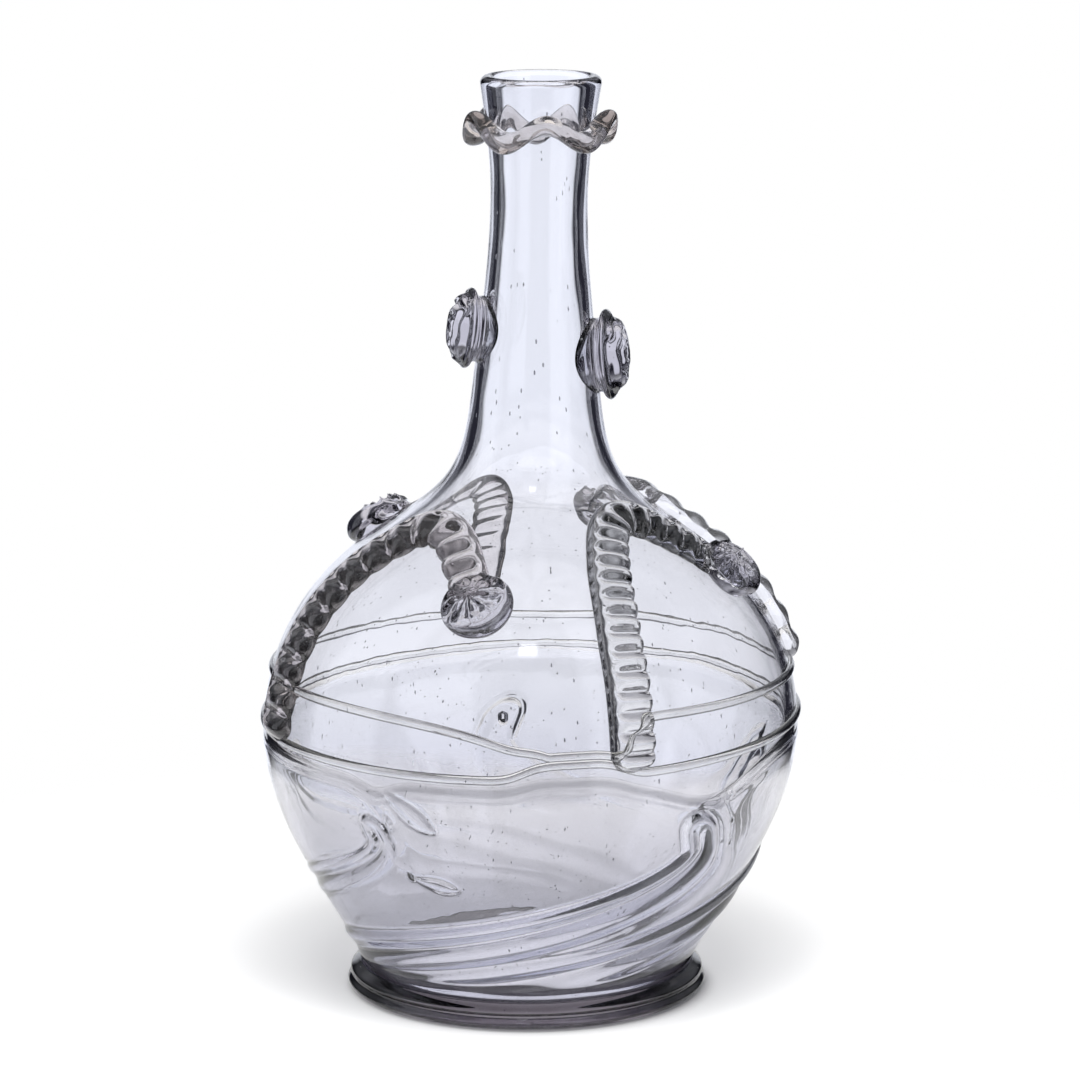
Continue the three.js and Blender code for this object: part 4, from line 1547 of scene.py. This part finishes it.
@dataclass(frozen=True)
class NeckPrunt:
    """A stamped prunt on the neck, with a flared toothed rim and wavy ridges on its face.

    Attributes:
        side: where it is, as its node says.
        angle: where it is round the neck.
        share: where it is up the neck, as a share of the way from the shoulder to the mouth.
        radius: radius of its rim.
        seed: chooses the phases of its ridges.
        height: how far it stands out.
        ridge_height: height of the ridges.
        ridge_apart: distance from ridge to ridge, as a share of the radius.
    """

    side: str
    angle: float
    share: float
    radius: float
    seed: int
    height: float = 8.0
    ridge_height: float = 0.5
    ridge_apart: float = 0.34

    # Shares of the radius and height, from the glass inwards to the top.
    STAMPED = ((0.84, -0.06), (0.82, 0.14), (0.87, 0.25), (0.98, 0.33), (1.0, 0.42), (0.96, 0.51),
               (0.86, 0.6), (0.8, 0.72), (0.68, 0.84), (0.5, 0.93), (0.3, 0.98), (0.02, 1.0))
    # Waves round a ridge, each with its size.
    WANDER = ((3, 0.1), (7, 0.06))
    # Points between the corners above.
    STEPS = 6
    # Where the ridges come in and end on the face, as shares of the radius.
    HUB = 0.25
    FACE_RADIUS = 0.97
    FACE_EDGE = 0.12

    def build(self, blower: Blower) -> None:
        """Makes the prunt.

        Args:
            blower: makes the piece.
        """
        outline = blower.surface.outline
        level = outline.shoulder_height + self.share * (
            outline.mouth_height - outline.shoulder_height)
        profile = spline(np.array(self.STAMPED) * [self.radius, self.height], self.STEPS)
        climb = float(blower.surface.climb_at(level))
        prunt = Prunt(f"stamped_prunt_{self.side}", f"neck_prunt_{self.side}")
        prunt.build(blower, self.angle, climb, profile, self.stamp)

    def stamp(self, share: np.ndarray, turn: np.ndarray) -> np.ndarray:
        """Works out the wavy ridges that the prunt is stamped with.

        Args:
            share: shares of the prunt's radius.
            turn: turns round its middle.

        Returns:
            The lift at each place.
        """
        phases = np.random.default_rng(self.seed).uniform(0, FULL_TURN, 3)
        wander = sum(size * np.cos(waves * turn + phase)
                     for (waves, size), phase in zip(self.WANDER, phases))
        rings = np.cos(FULL_TURN * (share + wander * share) / self.ridge_apart + phases[2])
        inside = smooth((self.FACE_RADIUS - share) / self.FACE_EDGE)
        return self.ridge_height * rings * smooth(share / self.HUB) * inside


@dataclass(frozen=True)
class Collar:
    """The frilled collar under the mouth.

    Attributes:
        drop: how far its middle is under the mouth.
        radius: radius of its edge.
        thickness: its thickness.
        sunk: how far it sinks into the neck.
        waves: how many waves it has.
        wave: how far its edge goes up and down.
        root_wave: share of that at the neck.
        crest_angle: where one of the waves is highest.
    """

    drop: float = 13.5
    radius: float = 19.9
    thickness: float = 5.2
    sunk: float = 0.4
    waves: int = 5
    wave: float = 3.3
    root_wave: float = 0.45
    crest_angle: float = 5.0

    # Points round the collar and round its section.
    ROUND = 480
    SECTION = 44

    def build(self, blower: Blower) -> None:
        """Makes the collar.

        Args:
            blower: makes the piece.
        """
        surface = blower.surface
        angles = evenly(360, self.ROUND)[:, None]
        turn = evenly(FULL_TURN, self.SECTION)[None, :]
        share = 0.5 + 0.5 * np.cos(turn)
        thick = np.sin(turn) * self.thickness / 2
        level = surface.outline.mouth_height - self.drop
        wave = self.wave * np.cos(self.waves * np.radians(angles - self.crest_angle))
        height = level + wave * (self.root_wave + (1 - self.root_wave) * share) + thick
        root = surface.profile(surface.climb_at(height), -self.sunk)[0]
        rings = around(root + (self.radius - root) * share, np.radians(angles), height)
        blower.piece("frilled_collar", Skin(rings, True), COLLAR, Slot.TRIMMING, "mouth_collar")


@dataclass(frozen=True)
class Window:
    """A bright part of the studio, by compass and elevation.

    Attributes:
        compass: its middle, in degrees from behind the bottle towards -X.
        low: elevation of its lower edge.
        high: elevation of its upper edge.
        half_width: half its width, in degrees.
        soft: half the width of its soft edge.
        strength: how bright it is.
    """

    compass: float
    low: float
    high: float
    half_width: float = 19.0
    soft: float = 3.0
    strength: float = 1.0


@dataclass(frozen=True)
class Studio:
    """Pale table, white background, dark surroundings between, lamps and camera.

    Attributes:
        lens: focal length of the camera, on a sensor 36 mm wide.
        camera_place: where the camera is.
        pitch: how far it looks down.
        table_radius: radius of the table.
        table_colour: colour of the table.
        table_drop: how far it is under the bottle.
        table_fades: distances from its rim over which it fades out.
        painted_table_glow: strength of a glow painted into the table round the foot, which evens it
            out to white.
        painted_glow_starts: distances over which that painted glow comes in, leaving a painted dark
            contact ring under the foot.
        painted_caustic_glow: strength of a painted pool of light under the kick, where the glass
            would focus light.
        painted_caustic_ends: distances over which that painted pool of light ends.
        ambient: how bright the world is to a matt surface such as the table.
        upper_fill: middle brightness of the sky.
        fill_starts: elevations over which the sky comes in.
        fill_turns: bright and dark parts of the sky round the compass.
        fill_steps: the same, going up.
        fill_depth: how different they are.
        dark: colour of the dark surroundings.
        bright: colour of the windows and the sky.
        lamp_power: power of each lamp, in watts.
        lamp_size: width and height of a lamp, in metres.
        lamp_aim: height over the table that the lamps point at, in metres.
    """

    lens: float = 166.94
    camera_place: tuple[float, float, float] = (2.36, -1276.0, 378.6)
    pitch: float = 11.505
    table_radius: float = 260.0
    table_colour: Colour = (0.8, 0.8, 0.8)
    table_drop: float = 0.3
    table_fades: tuple[float, float] = (70.0, 8.0)
    painted_table_glow: float = 0.34
    painted_glow_starts: tuple[float, float] = (44.0, 50.0)
    painted_caustic_glow: float = 0.65
    painted_caustic_ends: tuple[float, float] = (30.0, 42.0)
    ambient: float = 0.24
    upper_fill: float = 0.3
    fill_starts: tuple[float, float] = (8.0, 30.0)
    fill_turns: int = 8
    fill_steps: int = 12
    fill_depth: float = 0.95
    dark: Colour = (0.022, 0.022, 0.032)
    bright: Colour = (1.0, 1.03, 1.12)
    lamp_power: float = 5.2
    lamp_size: tuple[float, float] = (0.34, 0.5)
    lamp_aim: float = 0.06

    WINDOWS = (Window(0, -60, 14), Window(90, -17, 75), Window(225, -26, 75),
               Window(45, -60, -17), Window(45, 12, 75, 28.0, 6.0, 0.22),
               Window(315, 12, 75, 28.0, 6.0, 0.3), Window(0, -40, -11.6, 19.0, 0.8, 1.1),
               Window(177, 53, 59, 6.0, 2.0, 5.0))
    # Points round the table, and the radii of its inner rings.
    TABLE_ROUND = 96
    TABLE_RINGS = (1.0, 60.0, 120.0, 180.0)
    LAMPS = (("left", (-130.0, -420.0, 900.0)), ("right", (150.0, -410.0, 890.0)))

    def build(self) -> None:
        """Makes everything round the bottle."""
        self.build_camera()
        self.build_world()
        self.build_table()
        self.build_lamps()

    def build_camera(self) -> None:
        """Places the camera of the first view."""
        camera = bpy.data.cameras.new("camera")
        camera.lens = self.lens
        camera.sensor_width = 36.0
        holder = bpy.data.objects.new("camera", camera)
        holder.location = Vector(self.camera_place) * MM
        holder.rotation_euler = (math.radians(90 - self.pitch), 0.0, 0.0)
        bpy.context.scene.collection.objects.link(holder)
        bpy.context.scene.camera = holder
        LOG.info("camera with a %.1f mm lens", self.lens)

    def light(self, bench: Bench) -> Wire:
        """Lays out the windows and the sky.

        Args:
            bench: builds the nodes.

        Returns:
            How bright the surroundings are in each direction.
        """
        way = bench.node("ShaderNodeTexCoord")["Generated"]
        parts = bench.node("ShaderNodeSeparateXYZ", {0: way})
        level = bench.maths("ARCSINE", parts["Z"]) * math.degrees(1)
        compass = bench.maths("ARCTAN2", -1.0 * parts["X"], parts["Y"]) * math.degrees(1)
        lit: Wire | float = 0.0
        for window in self.WINDOWS:
            off = bench.maths("ABSOLUTE", bench.maths(
                "WRAP", compass - window.compass, 180.0, -180.0))
            across = off.eased(window.half_width + window.soft, window.half_width - window.soft)
            above = level.eased(window.low - window.soft, window.low + window.soft)
            below = level.eased(window.high + window.soft, window.high - window.soft)
            lit = bench.maths("MAXIMUM", lit, across * above * below * window.strength)
        across = bench.maths("SINE", compass * math.radians(self.fill_turns))
        upward = bench.maths("SINE", level * math.radians(self.fill_steps))
        sky = level.eased(*self.fill_starts) * (across * upward * self.fill_depth + 1.0)
        return bench.maths("MAXIMUM", lit, sky * self.upper_fill)

    def build_world(self) -> None:
        """Makes the white background and what glass and lamps see of it."""
        world = bpy.data.worlds.new("studio")
        world.use_nodes = True
        bpy.context.scene.world = world
        bench = Bench(world.node_tree)
        lit = self.light(bench)
        seen = bench.blend(bench.maths("MINIMUM", lit, 1.0), self.dark, self.bright)
        path = bench.node("ShaderNodeLightPath")
        inside = bench.blend(path["Is Camera Ray"], seen, WHITE)
        ambient = bench.blend(path["Is Diffuse Ray"], inside, (self.ambient,) * 3)
        extra = bench.maths("MAXIMUM", lit, 1.0) - path["Is Camera Ray"] - path["Is Diffuse Ray"]
        strength = bench.maths("MAXIMUM", extra, 1.0)
        background = bench.node("ShaderNodeBackground", {"Color": ambient, "Strength": strength})
        bench.node("ShaderNodeOutputWorld", {"Surface": background["Background"]})

    def build_table(self) -> None:
        """Makes the pale table round the bottle, which fades into the background."""
        count = self.TABLE_ROUND
        radii = np.array([*self.TABLE_RINGS, self.table_radius])[:, None]
        turn = evenly(FULL_TURN, count)[None, :]
        places = around(radii, turn, -self.table_drop).reshape(-1, 3) * MM
        faces = [list(range(count))]
        for ring in range(len(radii) - 1):
            for j in range(count):
                k = (j + 1) % count
                faces.append([ring * count + j, (ring + 1) * count + j,
                              (ring + 1) * count + k, ring * count + k])
        mesh = bpy.data.meshes.new("table")
        mesh.from_pydata([tuple(place) for place in places], [], faces)
        mesh.materials.append(self.table_material())
        table = bpy.data.objects.new("table", mesh)
        bpy.context.scene.collection.objects.link(table)

    def table_material(self) -> bpy.types.Material:
        """Makes the table's finish, which keeps the bottle's shadow, glows with painted light round
        the foot and under the kick, and fades out at the rim.

        Returns:
            The material, with its nodes.
        """
        material = bpy.data.materials.new("table")
        material.use_nodes = True
        bench = Bench(material.node_tree)
        place = bench.node("ShaderNodeTexCoord")["Object"]
        out = bench.node("ShaderNodeVectorMath", {0: place}, operation="LENGTH")["Value"]
        matt = bench.node("ShaderNodeBsdfDiffuse", {"Color": (*self.table_colour, 1.0)})
        # Painted light: a glow round the foot, a painted caustic under the kick, and between them a
        # painted dark contact ring with no glow.
        ring = out.eased(self.painted_glow_starts[0] * MM, self.painted_glow_starts[1] * MM)
        painted_caustic = out.eased(self.painted_caustic_ends[1] * MM, self.painted_caustic_ends[0] * MM)
        glow = bench.node("ShaderNodeEmission", {
            "Strength": ring * self.painted_table_glow + painted_caustic * self.painted_caustic_glow})
        lit = bench.node("ShaderNodeAddShader", {0: matt["BSDF"], 1: glow["Emission"]})
        clear = bench.node("ShaderNodeBsdfTransparent")
        starts, ends = (self.table_radius - inset for inset in self.table_fades)
        mixed = bench.node("ShaderNodeMixShader", {
            0: out.eased(starts * MM, ends * MM), 1: lit["Shader"], 2: clear["BSDF"]})
        bench.node("ShaderNodeOutputMaterial", {"Surface": mixed["Shader"]})
        return material

    def build_lamps(self) -> None:
        """Hangs two soft lamps at the front, left and right."""
        for name, place in self.LAMPS:
            lamp = bpy.data.lights.new(f"lamp_{name}", "AREA")
            lamp.shape = "RECTANGLE"
            lamp.size, lamp.size_y = self.lamp_size
            lamp.energy = self.lamp_power
            holder = bpy.data.objects.new(f"lamp_{name}", lamp)
            spot = Vector(place) * MM
            holder.location = spot
            holder.visible_glossy = False
            holder.visible_transmission = False
            aim = Vector((0.0, 0.0, self.lamp_aim)) - spot
            holder.rotation_euler = aim.to_track_quat("-Z", "Y").to_euler()
            bpy.context.scene.collection.objects.link(holder)
            LOG.info("lamp %s", name)


TRAILS = (
    Trail("front_right", 21.5, 50.5, 128.2, 8.6, False, crimp_depth=1.8, crimp_pitch=4.9,
          scallop=0.4, roundness=0.6),
    Trail("back_right", 96.0, 59.5, 127.6, 8.8, True, crimp_depth=1.4, crimp_pitch=8.0,
          roundness=0.9, finish=PALE),
    Trail("back_left", 193.5, 43.0, 128.6, 9.2, True, crimp_depth=0.7, scallop=0.5,
          thickness=2.2, roundness=1.2, finish=VEILED),
    Trail("front_left", 293.0, 52.5, 126.0, 9.2, False, width=13.4, crimp_depth=2.4,
          roundness=0.6, finish=VEILED))
NECK_PRUNTS = (NeckPrunt("left", -80.0, 0.457, 10.4, 11), NeckPrunt("right", 80.0, 0.4, 11.7, 12))


def main() -> None:
    """Builds the studio and every piece of the bottle."""
    logging.basicConfig(level=logging.INFO, format="%(message)s")
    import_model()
    bpy.context.scene.view_settings.view_transform = "Standard"
    Studio().build()
    blower = Blower(GlassSurface(Outline()))
    threads = Threads()
    Vessel().build(blower)
    Gather(threads).build(blower)
    Foot().build(blower)
    threads.build(blower)
    for trail in TRAILS:
        trail.build(blower, threads)
    for prunt in NECK_PRUNTS:
        prunt.build(blower)
    Collar().build(blower)


if __name__ == "__main__":
    main()
